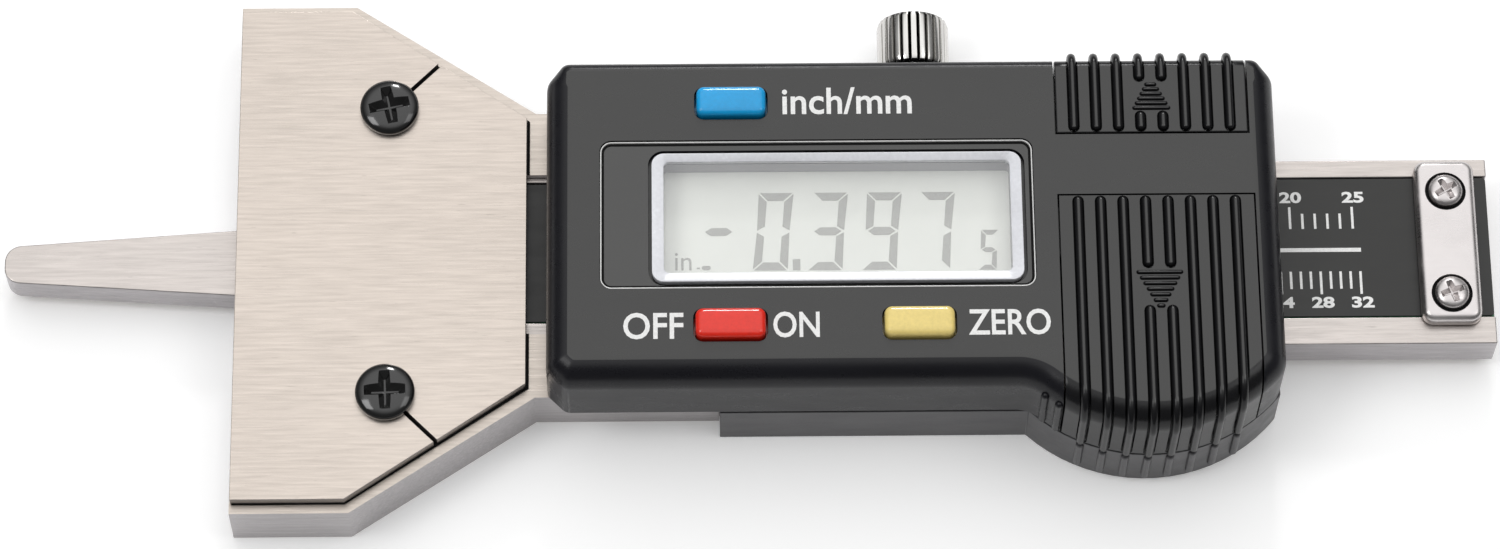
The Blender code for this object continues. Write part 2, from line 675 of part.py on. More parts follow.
def make_lock():
    """The thumb screw, and the pad on its tip that presses the gib."""
    grip, collar, shank = 2.9, 2.4, 1.45
    profile = [
        (0, LOCK_TOP),
        (grip - 0.5, LOCK_TOP),
        (grip, LOCK_TOP - 0.4),
        (grip, LOCK_KNURL),
        (collar, LOCK_KNURL),
        (collar, LOCK_COLLAR),
        (shank, LOCK_COLLAR),
        (shank, LOCK_TIP + 0.3),
        (shank - 0.3, LOCK_TIP),
        (0, LOCK_TIP),
    ]
    add_turned("lock_screw", profile, NICKEL, (LOCK_X, 0, LOCK_Z), 32, "Y")
    pad = [(0, 9.6), (1.35, 9.6), (1.35, 8.75), (0, 8.75)]
    add_turned("lock_pad", pad, BRASS, (LOCK_X, 0, LOCK_Z), 20, "Y")


make_frame()
make_foot_cover()
make_beam()
make_guides()
make_housing()
make_rear_cover()
make_lids()
make_display()
make_board()
make_buttons()
make_battery()
make_lock()
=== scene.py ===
"""The looks of a digital tire tread gauge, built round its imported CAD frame.

Sizes are in millimetres and MM turns them into metres. They are measured the way the CAD
measures them: X from the foot's measuring face along the beam, Y from the beam's centreline and
Z from the back plane. Spans are (low, high) pairs, read from the CAD nodes' boxes where they can be.
"""

import math

import bmesh
import bpy
from mathutils import Matrix, Vector


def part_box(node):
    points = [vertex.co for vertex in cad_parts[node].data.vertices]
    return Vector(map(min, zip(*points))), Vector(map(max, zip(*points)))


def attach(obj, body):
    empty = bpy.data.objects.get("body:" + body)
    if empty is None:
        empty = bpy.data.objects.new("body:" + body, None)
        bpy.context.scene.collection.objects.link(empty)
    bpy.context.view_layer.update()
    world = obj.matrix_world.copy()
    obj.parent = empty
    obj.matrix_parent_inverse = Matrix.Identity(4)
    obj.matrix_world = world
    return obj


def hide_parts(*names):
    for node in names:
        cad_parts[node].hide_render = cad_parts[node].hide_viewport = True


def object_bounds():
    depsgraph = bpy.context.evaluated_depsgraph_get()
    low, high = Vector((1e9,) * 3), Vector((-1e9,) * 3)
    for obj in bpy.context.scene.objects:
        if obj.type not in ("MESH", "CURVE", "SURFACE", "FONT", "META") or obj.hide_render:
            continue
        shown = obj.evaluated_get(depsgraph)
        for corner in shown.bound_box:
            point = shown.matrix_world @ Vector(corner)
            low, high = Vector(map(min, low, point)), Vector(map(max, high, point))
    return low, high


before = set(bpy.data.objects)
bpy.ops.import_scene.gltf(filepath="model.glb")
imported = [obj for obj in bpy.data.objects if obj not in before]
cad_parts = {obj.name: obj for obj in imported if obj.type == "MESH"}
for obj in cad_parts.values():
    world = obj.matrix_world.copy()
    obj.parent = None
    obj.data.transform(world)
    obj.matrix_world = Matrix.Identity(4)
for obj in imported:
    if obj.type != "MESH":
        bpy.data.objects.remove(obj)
CAD_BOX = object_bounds()

MM = 0.001
FACE_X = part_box("frame_body")[0].x / MM  # world X of the measuring face


def spans(node):
    """The node's X, Y and Z spans, in millimetres from the datum."""
    low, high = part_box(node)
    datum = (FACE_X, 0, 0)
    return [(low[axis] / MM - datum[axis], high[axis] / MM - datum[axis]) for axis in range(3)]


def middle(span):
    return (span[0] + span[1]) / 2


def around(centre, half):
    return (centre - half, centre + half)


# Housing
(SHELL_LEFT, SHELL_RIGHT), (_, SHELL_SIDE), (SHELL_BACK, SHELL_FRONT) = spans("housing")
REAR_TOP = spans("rear_cover")[2][1]
BULGE_X, BULGE_Y, BULGE_RADIUS = 72.0, -4.0, 13.5
BULGE_FILLET = 3.0
BULGE_SHOULDER = 2.4
CORNER_CUT = 1.45
CORNER_ROUND = 0.9
CORNER_LEAST = 0.2
SHELL_ROUND = 2.1  # the front rim's radius, apart from the upper side
UPPER_ROUND = 1.0
SHELL_WALL = 1.2
CEILING = 11.0
DECK_BACK = 9.9
LEDGE_TOP = 11.3
MIDDLE_DECK = ((63.5, 81.8), (-3.0, 3.4))
DATA_DECK = ((63.5, 80.9), (5.8, 12.4))
DATA_OPENING = ((68.3, 76.7), (9.2, 30))
BOSSES = ((29.5, 10.0), (29.5, -10.0), (80.2, 10.4), (80.2, -10.4))
BOSS_RADIUS = 1.6
BOSS_BORE = 0.75
FAR_Y = 30
FAR_Z = 20
THROUGH = (8, FAR_Z)  # the heights of a cut through the front wall

# Display
PANEL = ((29.0, 63.15), (-6.05, 6.65))
PANEL_ROUND = 0.95
PANEL_FLOOR = 11.85
VIEW = ((34.0, 61.35), (-4.6, 5.0))
LENS_ROUND = 0.95
MOAT = 0.27  # the groove round the window's rim
SLOPE_BACK = 11.8  # where the rim's slope ends
WORDS = (  # text, X, baseline, capital height
    ("inch/mm", (43.45, 53.7), 8.9, 2.2),
    ("OFF", (30.85, 35.53), -10.27, 2.1),
    ("ON", (42.51, 46.12), -10.2, 2.05),
    ("ZERO", (57.7, 64.1), -10.1, 2.05),
)
SEGMENTS = {"0": "abcdef", "3": "abgcd", "9": "abcdfg", "7": "abc", "5": "afgcd", "-": "g"}
READING = (("-", 36.7), ("0", 41.0), ("3", 45.3), ("9", 49.56), ("7", 53.75))
DIGIT_SIZE = (2.75, 6.65, 0.68)  # width, height, stroke
HALF_THOUSANDTH = (1.4, 3.4, 0.4)
DIGIT_BASE = -3.5
DIGIT_LEAN = 0.083
DISPLAY_MARKS = (  # decimal point, then the low-battery bar and dash: X, Y, corner radius
    ((44.15, 44.75), (DIGIT_BASE, DIGIT_BASE + 0.95), 0.0),
    ((36.6, 36.85), (-3.35, -3.23), 0.0),
    ((37.0, 37.7), (-3.44, -3.08), 0.16),
)
UNIT = ("in", (34.9, 36.2), -3.45, 1.6)

# Sliding covers
SEAM = 0.14
LID_WALL_Y = 12.4
LID_FLOOR = 10.95
LID_BACK = 5.4
LID_WALL = 0.9
LIDS = (  # node, on the lower side, gap in the middle ribs, arrow
    ("battery_cover", True, (-4.15, -8.2), (-4.95, -7.8, 3.3, 0.3, 7)),
    ("data_cover", False, (8.5, 11.95), (9.2, 11.25, 2.65, 0.6, 6)),
)
RIB_COUNT = 8
RIB_PITCH = 1.765
RIB_RADIUS = 0.34
RIB_FOOT = 5.75
RIB_LIFT = 0.05
RIB_TRENCH = 0.14
ARROW_RADII = {"trench": 0.2, "rib": 0.14}
FLANK_RIBS = (63.6, 64.65)

# Foot, beam and its scales
FOOT_SCREWS = {"upper": (12.3, 12), "lower": (-12.3, 2)}  # Y, turn of the recess
FOOT_SCREW_X = 12.1
FOOT_CORNER_X = 9.0
NECK_SIDE = 11.5
BEAM_WAY = ((14.4, 30), (-6.9, 6.9))
# How far the painted seam shadow under the foot's cover plate reaches past its edge.
SEAM_SHADE = 0.07
SHOULDER_X = 15.2
TAPER_END = 1.5
PROBE_HALF = 2.95
PROBE_FRONT = 3.9
TIP_HALF = 1.55
TIP_ROUND = 1.35
LABEL_SHIFT = 0.4  # towards the beam's upper edge
ZERO_X = 64.05
SCALES = (  # last mark, step, numbered every, Ys of the marks, number's baseline, shift, half width
    (25, 1, 5, (2.02, 3.34, 3.92), 4.33, 0.12, 0.88),
    (32, 25.4 / 32, 4, (-1.7, -3.2, -3.66), -4.8, 0.08, 0.9),
)
SCALE_LINE = ((ZERO_X, 89.6), (0.0, 0.34))
TICK_HALF = 0.1
NUMBER_HIGH = 0.86
NARROW_HALF = 0.4
STOP_ROUND = 0.95
STOP_ROLL = 0.62
STOP_HOLE = 1.1
STOP_CUT = (3, 7)  # the heights of a cut through the label and the end stop

# Screws: head radius, head height, shank radius
FOOT_SCREW = (2.35, 1.13, 1.25)
STOP_SCREW = (1.36, 0.86, 0.85)
PLATE_SCREW = (1.1, 0.5, 0.65)
SHELL_SCREW = (1.5, 0.8, 0.62)
BACK_SINK = 0.05

# Buttons and lock screw
BUTTON_HALF = (2.75, 1.25)
BUTTON_ROUND = 0.62
BUTTON_GAP = 0.16
BUTTON_FLANGE = 0.7
FLANGE_Z = (10.2, 10.85)
STEM_HALF = 0.8
PILLOW_INSET, PILLOW_DROP, PILLOW_POWER = 1.15, 0.7, 0.6
KNURL_START = 16.6
FLUTES = 26

# Meshes and shading
POST_SIDES = 32
# Steep faces can take a darker copy of their look, which paints shade on them.
STEEP = 0.97  # a face whose normal's Z is below this counts as steep
SMOOTH_BELOW = 38  # degrees
WELD_REACH = 0.002


# ---------------- outlines


def arc(x, y, radius, start, end, steps):
    """Points along an arc, its angles in degrees."""
    angles = [math.radians(start + (end - start) * step / steps) for step in range(steps + 1)]
    return [Vector((x + radius * math.cos(angle), y + radius * math.sin(angle))) for angle in angles]


def rounded(corners, steps=6):
    """An outline from (x, y, radius) corners, with an arc at each corner that has a radius."""
    points = []
    for i, (x, y, radius) in enumerate(corners):
        corner = Vector((x, y))
        if radius == 0:
            points.append(corner)
            continue
        before = (Vector(corners[i - 1][:2]) - corner).normalized()
        after = (Vector(corners[(i + 1) % len(corners)][:2]) - corner).normalized()
        half_angle = before.angle(after) / 2
        centre = corner + (before + after).normalized() * radius / math.sin(half_angle)
        start = (corner + before * radius / math.tan(half_angle) - centre).normalized()
        end = (corner + after * radius / math.tan(half_angle) - centre).normalized()
        points += [centre + start.slerp(end, step / steps) * radius for step in range(steps + 1)]
    return points


def rectangle(x_span, y_span, radius=0.0, steps=6, inset=0.0):
    """A rectangle with rounded corners. A negative inset makes it larger."""
    x0, x1 = x_span[0] + inset, x_span[1] - inset
    y0, y1 = y_span[0] + inset, y_span[1] - inset
    radius = max(radius - inset, 0.04) if radius else 0.0
    return rounded([(x0, y0, radius), (x1, y0, radius), (x1, y1, radius), (x0, y1, radius)], steps)


def at(outline, z):
    """The outline lifted to a height."""
    return [Vector((point[0], point[1], z)) for point in outline]


def shell_outline(grow=0.0):
    """The housing's outline from the front: cut corners, and the bulge with its fillets."""
    x0, x1, side = SHELL_LEFT - grow, SHELL_RIGHT + grow, SHELL_SIDE + grow
    radius, fillet, shoulder = BULGE_RADIUS + grow, BULGE_FILLET - grow, BULGE_SHOULDER + grow
    fillet_x = BULGE_X - math.sqrt((radius + fillet) ** 2 - (side + fillet + BULGE_Y) ** 2)
    fillet_y = -side - fillet
    fillet_end = math.degrees(math.atan2(BULGE_Y - fillet_y, BULGE_X - fillet_x))
    shoulder_x = x1 - shoulder
    shoulder_y = BULGE_Y - math.sqrt((radius - shoulder) ** 2 - (shoulder_x - BULGE_X) ** 2)
    shoulder_start = math.degrees(math.atan2(shoulder_y - BULGE_Y, shoulder_x - BULGE_X))
    cut = max(CORNER_CUT + grow * (2 - math.sqrt(2)), CORNER_LEAST)
    turn = max(CORNER_ROUND + grow * 0.3, CORNER_LEAST)
    corners = [
        (x1, 0, 0),
        (x1, side - cut, turn),
        (x1 - cut, side, turn),
        (x0 + cut, side, turn),
        (x0, side - cut, turn),
        (x0, -side + cut, turn),
        (x0 + cut, -side, turn),
        (fillet_x, -side, 0),
    ]
    return [
        *rounded(corners, 4)[1:-1],
        *arc(fillet_x, fillet_y, fillet, 90, fillet_end, 8),
        *arc(BULGE_X, BULGE_Y, radius, fillet_end - 180, shoulder_start, 40),
        *arc(shoulder_x, shoulder_y, shoulder, shoulder_start, 0, 6)[1:],
    ]


# ---------------- meshes


def mesh_from(bm):
    mesh = bpy.data.meshes.new("shape")
    bm.to_mesh(mesh)
    bm.free()
    return mesh


def loft(rings):
    """A closed skin through rings that all have the same number of points."""
    bm = bmesh.new()
    rows = [[bm.verts.new(point) for point in ring] for ring in rings]
    for row, above in zip(rows, rows[1:]):
        for i in range(len(row)):
            j = (i + 1) % len(row)
            bm.faces.new((row[i], row[j], above[j], above[i]))
    bm.faces.new(reversed(rows[0]))
    bm.faces.new(rows[-1])
    bmesh.ops.recalc_face_normals(bm, faces=bm.faces)
    return mesh_from(bm)


def prism(outline, z_span):
    return loft([at(outline, z_span[0]), at(outline, z_span[1])])


def box(x_span, y_span, z_span):
    return prism(rectangle(x_span, y_span), z_span)


def post(x, y, radius, z_span):
    """An upright cylinder."""
    steps = POST_SIDES - 1
    return prism(arc(x, y, radius, 0, 360 * steps / POST_SIDES, steps), z_span)


def turned(profile, sides=64, flutes=0, flute_depth=0.0, flute_z=(0, 0)):
    """A solid of revolution about Z from (radius, height) points, with flutes between two heights."""
    rings = []
    for radius, z in profile:
        depth = flute_depth if flute_z[0] <= z <= flute_z[1] else 0.0
        ring = []
        for i in range(sides):
            angle = 2 * math.pi * i / sides
            groove = max(0.0, math.cos(flutes * angle)) ** 3 * depth
            reach = radius - groove
            ring.append(Vector((reach * math.cos(angle), reach * math.sin(angle), z)))
        rings.append(ring)
    return loft(rings)


def rod(path, radius, sides=12):
    """A round bar along a path, with rounded ends."""
    points = [Vector(point) for point in path]
    ahead = [(b - a).normalized() for a, b in zip(points, points[1:])]
    directions = [ahead[0], *[(a + b).normalized() for a, b in zip(ahead, ahead[1:])], ahead[-1]]
    stations = [(point, direction, radius) for point, direction in zip(points, directions)]
    for turn in map(math.radians, (28, 56, 84)):
        back, narrow = radius * math.sin(turn), radius * math.cos(turn)
        stations.insert(0, (points[0] - directions[0] * back, directions[0], narrow))
        stations.append((points[-1] + directions[-1] * back, directions[-1], narrow))
    side = directions[0].orthogonal().normalized()
    rings = []
    for centre, direction, reach in stations:
        side = (side - direction * side.dot(direction)).normalized()
        across = direction.cross(side)
        angles = [2 * math.pi * i / sides for i in range(sides)]
        rings.append([centre + (side * math.cos(a) + across * math.sin(a)) * reach for a in angles])
    return loft(rings)


def together(meshes):
    """Several meshes as one, not joined to each other."""
    bm = bmesh.new()
    for mesh in meshes:
        bm.from_mesh(mesh)
        bpy.data.meshes.remove(mesh)
    return mesh_from(bm)


def moved(mesh, matrix):
    mesh.transform(matrix)
    return mesh


def add_object(name, data):
    thing = bpy.data.objects.new(name, data)
    bpy.context.scene.collection.objects.link(thing)
    return thing


def applied(guide):
    """A new mesh of the object with its modifiers applied."""
    return bpy.data.meshes.new_from_object(guide.evaluated_get(bpy.context.evaluated_depsgraph_get()))


def round_edges(piece, width, segments, angle):
    bevel = piece.modifiers.new("edges", "BEVEL")
    bevel.width = width
    bevel.segments = segments
    bevel.limit_method = "ANGLE"
    bevel.angle_limit = math.radians(angle)


def carved(mesh, *steps, edge=0.0, segments=2, angle=32):
    """The mesh after Booleans, each ("-", "+" or "&", other mesh), with its edges rounded."""
    body = add_object("guide", mesh)
    guides = [body]
    operations = {"-": "DIFFERENCE", "+": "UNION", "&": "INTERSECT"}
    for sign, other in steps:
        guides.append(add_object("guide", other))
        cut = body.modifiers.new("cut", "BOOLEAN")
        cut.operation = operations[sign]
        cut.solver = "EXACT"
        cut.object = guides[-1]
    if edge:
        body.modifiers.new("weld", "WELD").merge_threshold = WELD_REACH
        round_edges(body, edge, segments, angle)
    result = applied(body)
    for guide in guides:
        old = guide.data
        bpy.data.objects.remove(guide)
        bpy.data.meshes.remove(old)
    return result


def ring_plate(outer, inner, z_span, edge=0.0):
    """A flat ring between two outlines."""
    return carved(prism(outer, z_span), ("-", prism(inner, THROUGH)), edge=edge)


def lettering(items, z_span, bold):
    """Flat letters: each item is (text, X span, baseline Y, capital height)."""
    capital = text_mesh("H", 0.0)
    cap_height = max(vertex.co.y for vertex in capital.vertices)
    bpy.data.meshes.remove(capital)
    meshes = []
    for text, x_span, base, height in items:
        mesh = text_mesh(text, bold)
        xs = [vertex.co.x for vertex in mesh.vertices]
        stretch = (x_span[1] - x_span[0]) / (max(xs) - min(xs))
        size = Matrix.Diagonal((stretch, height / cap_height, z_span[1] - z_span[0], 1))
        place = Matrix.Translation((x_span[0] - min(xs) * stretch, base, middle(z_span)))
        meshes.append(moved(mesh, place @ size))
    return together(meshes)


def text_mesh(text, bold):
    curve = bpy.data.curves.new("text", "FONT")
    curve.body = text
    curve.extrude = 0.5
    curve.offset = bold
    curve.resolution_u = 4
    guide = add_object("guide", curve)
    mesh = applied(guide)
    bpy.data.objects.remove(guide)
    bpy.data.curves.remove(curve)
    return mesh


def shade(piece):
    piece.data.shade_smooth()
    piece.data.set_sharp_from_angle(angle=math.radians(SMOOTH_BELOW))
    piece.modifiers.new("normals", "WEIGHTED_NORMAL").keep_sharp = True


def show(name, mesh, look, body, nodes=(), steep_shade_look=None):
    """A finished piece: in place, shaded, riding its body and standing for its CAD nodes.

    A second look, a darker copy that paints shade, goes on the faces that tilt away from the front.
    """
    mesh.transform(Matrix.Scale(MM, 4) @ Matrix.Translation((FACE_X, 0, 0)))
    mesh.name = name
    mesh.materials.clear()
    mesh.materials.append(look)
    if steep_shade_look:
        mesh.materials.append(steep_shade_look)
        # The steep faces get the darker copy: painted shade.
        for face in mesh.polygons:
            face.material_index = int(abs(face.normal.z) < STEEP)
    piece = add_object(name, mesh)
    shade(piece)
    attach(piece, body)
    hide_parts(*nodes)


def keep(node, look, edge=0.0, segments=2):
    """A CAD node that stays, with a finished material and its edges rounded."""
    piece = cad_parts[node]
    piece.data.materials.clear()
    piece.data.materials.append(look)
    piece.modifiers.new("weld", "WELD").merge_threshold = WELD_REACH * MM
    flat = piece.modifiers.new("flat", "DECIMATE")
    flat.decimate_type = "DISSOLVE"
    flat.angle_limit = math.radians(1)
    if edge:
        round_edges(piece, edge * MM, segments, 35)
    shade(piece)


# ---------------- materials


class Look:
    """A material being made: its Principled shader, and short calls that add nodes to it."""

    def __init__(self, name, colour, roughness, metallic=0.0, **sockets):
        self.material = bpy.data.materials.new(name)
        self.material.use_nodes = True
        self.tree = self.material.node_tree
        self.shader = self.tree.nodes["Principled BSDF"]
        self.colour = (*colour, 1.0)
        self.shader.inputs["Base Color"].default_value = self.colour
        self.shader.inputs["Roughness"].default_value = roughness
        self.shader.inputs["Metallic"].default_value = metallic
        for socket, value in sockets.items():
            self.shader.inputs[socket.replace("_", " ")].default_value = value
        self.place = self.tree.nodes.new("ShaderNodeTexCoord").outputs["Object"]

    def feed(self, socket, value):
        """Link a node's output to the socket, or set the socket to a plain value."""
        if isinstance(value, bpy.types.NodeSocket):
            self.tree.links.new(value, socket)
        else:
            socket.default_value = value

    def node(self, kind, inputs=(), **settings):
        node = self.tree.nodes.new(kind)
        for name, value in settings.items():
            setattr(node, name, value)
        for socket, value in dict(inputs).items():
            self.feed(node.inputs[socket], value)
        return node

    def noise(self, fineness, detail=3.0, roughness=0.5):
        """Noise in waves per metre, with one fineness or one for each axis."""
        scale = fineness if isinstance(fineness, tuple) else (fineness,) * 3
        mapped = self.node("ShaderNodeMapping", {"Vector": self.place, "Scale": scale})
        inputs = {"Vector": mapped.outputs[0], "Scale": 1.0, "Detail": detail, "Roughness": roughness}
        return self.node("ShaderNodeTexNoise", inputs).outputs["Fac"]

    def spread(self, value, low, high, start=0.3, end=0.7):
        """Low where the value is at its start, high at its end."""
        inputs = {"Value": value, "From Min": start, "From Max": end, "To Min": low, "To Max": high}
        return self.node("ShaderNodeMapRange", inputs).outputs["Result"]

    def multiply(self, first, second):
        return self.node("ShaderNodeMath", {0: first, 1: second}, operation="MULTIPLY").outputs[0]

    def mix(self, factor, first, second):
        """First where the factor is 0, second where it is 1."""
        node = self.node("ShaderNodeMix", data_type="RGBA")
        colours = [socket for socket in node.inputs if socket.type == "RGBA"]
        for socket, value in ((node.inputs[0], factor), (colours[0], first), (colours[1], second)):
            self.feed(socket, value)
        return [socket for socket in node.outputs if socket.type == "RGBA"][0]

    def upward(self):
        """1 on faces that look up or down, 0 on upright ones: the mask for the steel's painted side shade.
        """
        normal = self.node("ShaderNodeNewGeometry").outputs["Normal"]
        z = self.node("ShaderNodeSeparateXYZ", {0: normal}).outputs["Z"]
        size = self.node("ShaderNodeMath", {0: z}, operation="ABSOLUTE").outputs[0]
        return self.spread(size, 0.0, 1.0, 0.45, 0.9)

    def tint(self, brightness, colour=None):
        """Paint the colour, or else the look's own, at a brightness that varies."""
        inputs = {"Color": self.colour if colour is None else colour, "Value": brightness}
        self.feed(self.shader.inputs["Base Color"], self.node("ShaderNodeHueSaturation", inputs).outputs[0])

    def polish(self, roughness):
        self.feed(self.shader.inputs["Roughness"], roughness)

    def bump(self, height, distance):
        inputs = {"Height": height, "Distance": distance, "Strength": 1.0}
        earlier = self.shader.inputs["Normal"].links
        if earlier:
            inputs["Normal"] = earlier[0].from_socket
        self.feed(self.shader.inputs["Normal"], self.node("ShaderNodeBump", inputs).outputs[0])


def brushed_steel(name, face, side, roughness, grain=4500):
    """Ground steel: fine lines along X on its flat faces, and painted shade on its upright faces, which get
    a darker, greyer colour.
    """
    look = Look(name, face, roughness, 1.0)
    lines = look.noise((230, grain, grain), 5, 0.62)
    faint = look.noise((260, grain * 2.4, grain * 2.4), 2)
    clouds = look.noise((55, 110, 110), 3)
    nicks = look.noise((900, 9000, 9000), 1)
    # Painted shade: upright faces take the side colour, flat faces the face colour.
    painted_side_shade_tone = look.mix(look.upward(), (*side, 1.0), (*face, 1.0))
    light = look.multiply(look.spread(lines, 0.86, 1.08), look.spread(clouds, 0.955, 1.035))
    light = look.multiply(light, look.spread(nicks, 1.0, 0.82, 0.72, 0.8))
    look.tint(light, painted_side_shade_tone)
    wear = look.spread(faint, roughness * 0.75, roughness * 1.3)
    look.polish(look.multiply(wear, look.spread(clouds, 0.9, 1.1)))
    look.bump(lines, 3e-6)
    look.bump(faint, 1.5e-6)
    return look.material


def plated(name, colour, roughness):
    """Bright plating: smooth, with faint ripples, fine scratches and handling haze."""
    look = Look(name, colour, roughness, 1.0)
    haze = look.noise(300, 4)
    ripple = look.noise(3000, 3)
    scratches = look.noise((700, 9000, 5000), 2)
    look.tint(look.spread(haze, 0.9, 1.04))
    wear = look.spread(haze, roughness * 0.7, roughness * 1.5)
    look.polish(look.multiply(wear, look.spread(scratches, 1.25, 0.9)))
    look.bump(ripple, 2.5e-6)
    return look.material


def moulded(name, colour, roughness, grain=5200, depth=5e-6, **sockets):
    """Moulded plastic: a fine spark-eroded grain, soft clouds and rubbed spots."""
    look = Look(name, colour, roughness, 0.0, **sockets)
    texture = look.noise(grain, 4, 0.6)
    clouds = look.noise((70, 130, 130), 3)
    rubs = look.noise((240, 900, 900), 3, 0.6)
    look.tint(look.multiply(look.spread(clouds, 0.9, 1.1), look.spread(texture, 0.94, 1.05)))
    wear = look.spread(rubs, roughness * 1.12, roughness * 0.84)
    look.polish(look.multiply(wear, look.spread(texture, 0.95, 1.06)))
    look.bump(texture, depth)
    return look.material


def fluted(name, colour, roughness, axis, shade_radii):
    """Bright plating on a grip, with painted shade that darkens its flutes towards their floors."""
    look = Look(name, colour, roughness, 1.0)
    placing = {"Vector": look.place, "Location": (-axis[0], 0, -axis[1]), "Scale": (1, 0, 1)}
    off_axis = look.node("ShaderNodeMapping", placing).outputs[0]
    reach = look.node("ShaderNodeVectorMath", {0: off_axis}, operation="LENGTH").outputs["Value"]
    haze = look.noise(300, 4)
    # Painted shade: the colour falls to 0.08 towards the flutes' floors.
    depth = look.spread(reach, 0.08, 1.0, shade_radii[0], shade_radii[1])
    look.tint(look.multiply(depth, look.spread(haze, 0.9, 1.04)))
    look.polish(look.spread(haze, roughness * 0.7, roughness * 1.5))
    look.bump(look.noise(3000, 3), 2.5e-6)
    return look.material


def spun(name, colour, roughness, centre):
    """Glossy moulded plastic that shows the concentric marks of its turned mould."""
    look = Look(name, colour, roughness, Specular_IOR_Level=0.85)
    origin = Vector(((centre[0] + FACE_X) * MM, centre[1] * MM, 0))
    mapped = look.node("ShaderNodeMapping", {"Vector": look.place, "Location": -origin})
    rings = look.node(
        "ShaderNodeTexWave",
        {"Vector": mapped.outputs[0], "Scale": 900.0, "Distortion": 1.2, "Detail": 2.0, "Detail Scale": 0.4},
        wave_type="RINGS",
        rings_direction="Z",
    ).outputs["Fac"]
    clouds = look.noise(200, 2)
    look.tint(look.multiply(look.spread(rings, 0.85, 1.2, 0, 1), look.spread(clouds, 0.85, 1.15)))
    look.polish(look.spread(rings, roughness * 0.8, roughness * 1.25, 0, 1))
    look.bump(rings, 4e-6)
    return look.material


def printed(name, colour, roughness):
    """Screen-printed ink, a little uneven."""
    look = Look(name, colour, roughness)
    grain = look.noise(6000, 3)
    look.tint(look.spread(grain, 0.88, 1.03))
    look.polish(look.spread(grain, roughness * 0.8, roughness * 1.2))
    look.bump(grain, 4e-6)
    return look.material


def clear_plastic(name):
    """A thin clear sheet that lets what is under it show, with a light polish haze."""
    look = Look(name, (0.95, 0.97, 1.0), 0.06, IOR=1.49, Alpha=0.10)
    haze = look.noise(260, 3)
    look.polish(look.spread(haze, 0.03, 0.12))
    return look.material


def circuit(name):
    """Green solder mask with the paler lines of copper tracks under it."""
    green, track = (0.012, 0.13, 0.06, 1.0), (0.05, 0.27, 0.12, 1.0)
    look = Look(name, green[:3], 0.32, Coat_Weight=0.4)
    lines = look.node("ShaderNodeTexBrick", {"Vector": look.place, "Scale": 550.0, "Mortar Size": 0.06})
    clouds = look.noise(400, 2)
    colour = look.mix(lines.outputs["Fac"], green, track)
    look.tint(look.spread(clouds, 0.85, 1.1), colour)
    look.bump(lines.outputs["Fac"], 1.2e-5)
    return look.material


def lcd_surface(name):
    """The display's pale grey-green face, slightly mottled, with the polariser's fine grain."""
    look = Look(name, (0.84, 0.855, 0.80), 0.55)
    mottle = look.noise(160, 3)
    grain = look.noise(9000, 2)
    look.tint(look.multiply(look.spread(mottle, 0.97, 1.02), look.spread(grain, 0.98, 1.015)))
    look.polish(look.spread(grain, 0.48, 0.62))
    return look.material


# Each steel's second colour is painted shade for its upright faces.
STEEL = brushed_steel("ground_steel", (0.54, 0.485, 0.435), (0.44, 0.42, 0.425), 0.34)
COVER_STEEL = brushed_steel("cover_steel", (0.55, 0.49, 0.44), (0.40, 0.38, 0.37), 0.32)
BEAM_STEEL = brushed_steel("beam_steel", (0.52, 0.48, 0.455), (0.43, 0.41, 0.42), 0.32, 3600)
PLATE_STEEL = brushed_steel("plate_steel", (0.52, 0.51, 0.50), (0.36, 0.35, 0.35), 0.38, 3000)
NICKEL = plated("nickel", (0.60, 0.57, 0.565), 0.27)
CELL_METAL = plated("cell_metal", (0.68, 0.68, 0.68), 0.22)
BRASS = plated("brass", (0.72, 0.52, 0.24), 0.3)
OXIDE_COAT = {"Coat_Weight": 0.5, "Coat_Roughness": 0.06}
BLACK_STEEL = moulded("black_oxide", (0.006, 0.006, 0.006), 0.14, 2500, 4e-6, **OXIDE_COAT)
CHARCOAL = moulded("charcoal_plastic", (0.008, 0.008, 0.0075), 0.3, Specular_IOR_Level=0.7)
LID_CHARCOAL = moulded("lid_plastic", (0.007, 0.007, 0.0065), 0.2, 4200, Specular_IOR_Level=0.7)
# Darker, bluer, less shiny copies of the two charcoal looks for steep faces: painted shade.
CHARCOAL_SHADED_SIDE = moulded("charcoal_painted_shade_sides", (0.007, 0.007, 0.0095), 0.3, Specular_IOR_Level=0.27)
LID_SHADED_SIDE = moulded("lid_painted_shade_sides", (0.006, 0.006, 0.007), 0.24, 4200, Specular_IOR_Level=0.3)
REAR_CHARCOAL = moulded("rear_plastic", (0.022, 0.021, 0.025), 0.34, Specular_IOR_Level=0.65)
PANEL_BLACK = spun("panel_plastic", (0.012, 0.012, 0.011), 0.2, (29.3, -1.2))
# Pale grey for the light along the panel's edge: a painted highlight.
PANEL_HIGHLIGHT_GREY = moulded("panel_painted_highlight", (0.75, 0.75, 0.74), 0.15, 3000, 1e-6)
# Dark and barely shiny: painted shadow in seams and gaps.
SEAM_SHADOW_BLACK = moulded("seam_painted_shadow", (0.004, 0.004, 0.004), 0.6, Specular_IOR_Level=0.1)
GLOSS = {"Specular_IOR_Level": 0.15, "Coat_Weight": 0.8, "Coat_Roughness": 0.09}
BLUE = moulded("blue_cap", (0.002, 0.34, 0.72), 0.2, 3500, 2e-6, **GLOSS)
RED = moulded("red_cap", (0.74, 0.022, 0.009), 0.2, 3500, 2e-6, **GLOSS)
YELLOW = moulded("yellow_cap", (0.86, 0.68, 0.23), 0.2, 3500, 2e-6, **GLOSS)
LABEL_BLACK = moulded("label_film", (0.008, 0.008, 0.007), 0.38, 7000, 3e-6)
WHITE_INK = printed("white_ink", (0.86, 0.86, 0.85), 0.5)
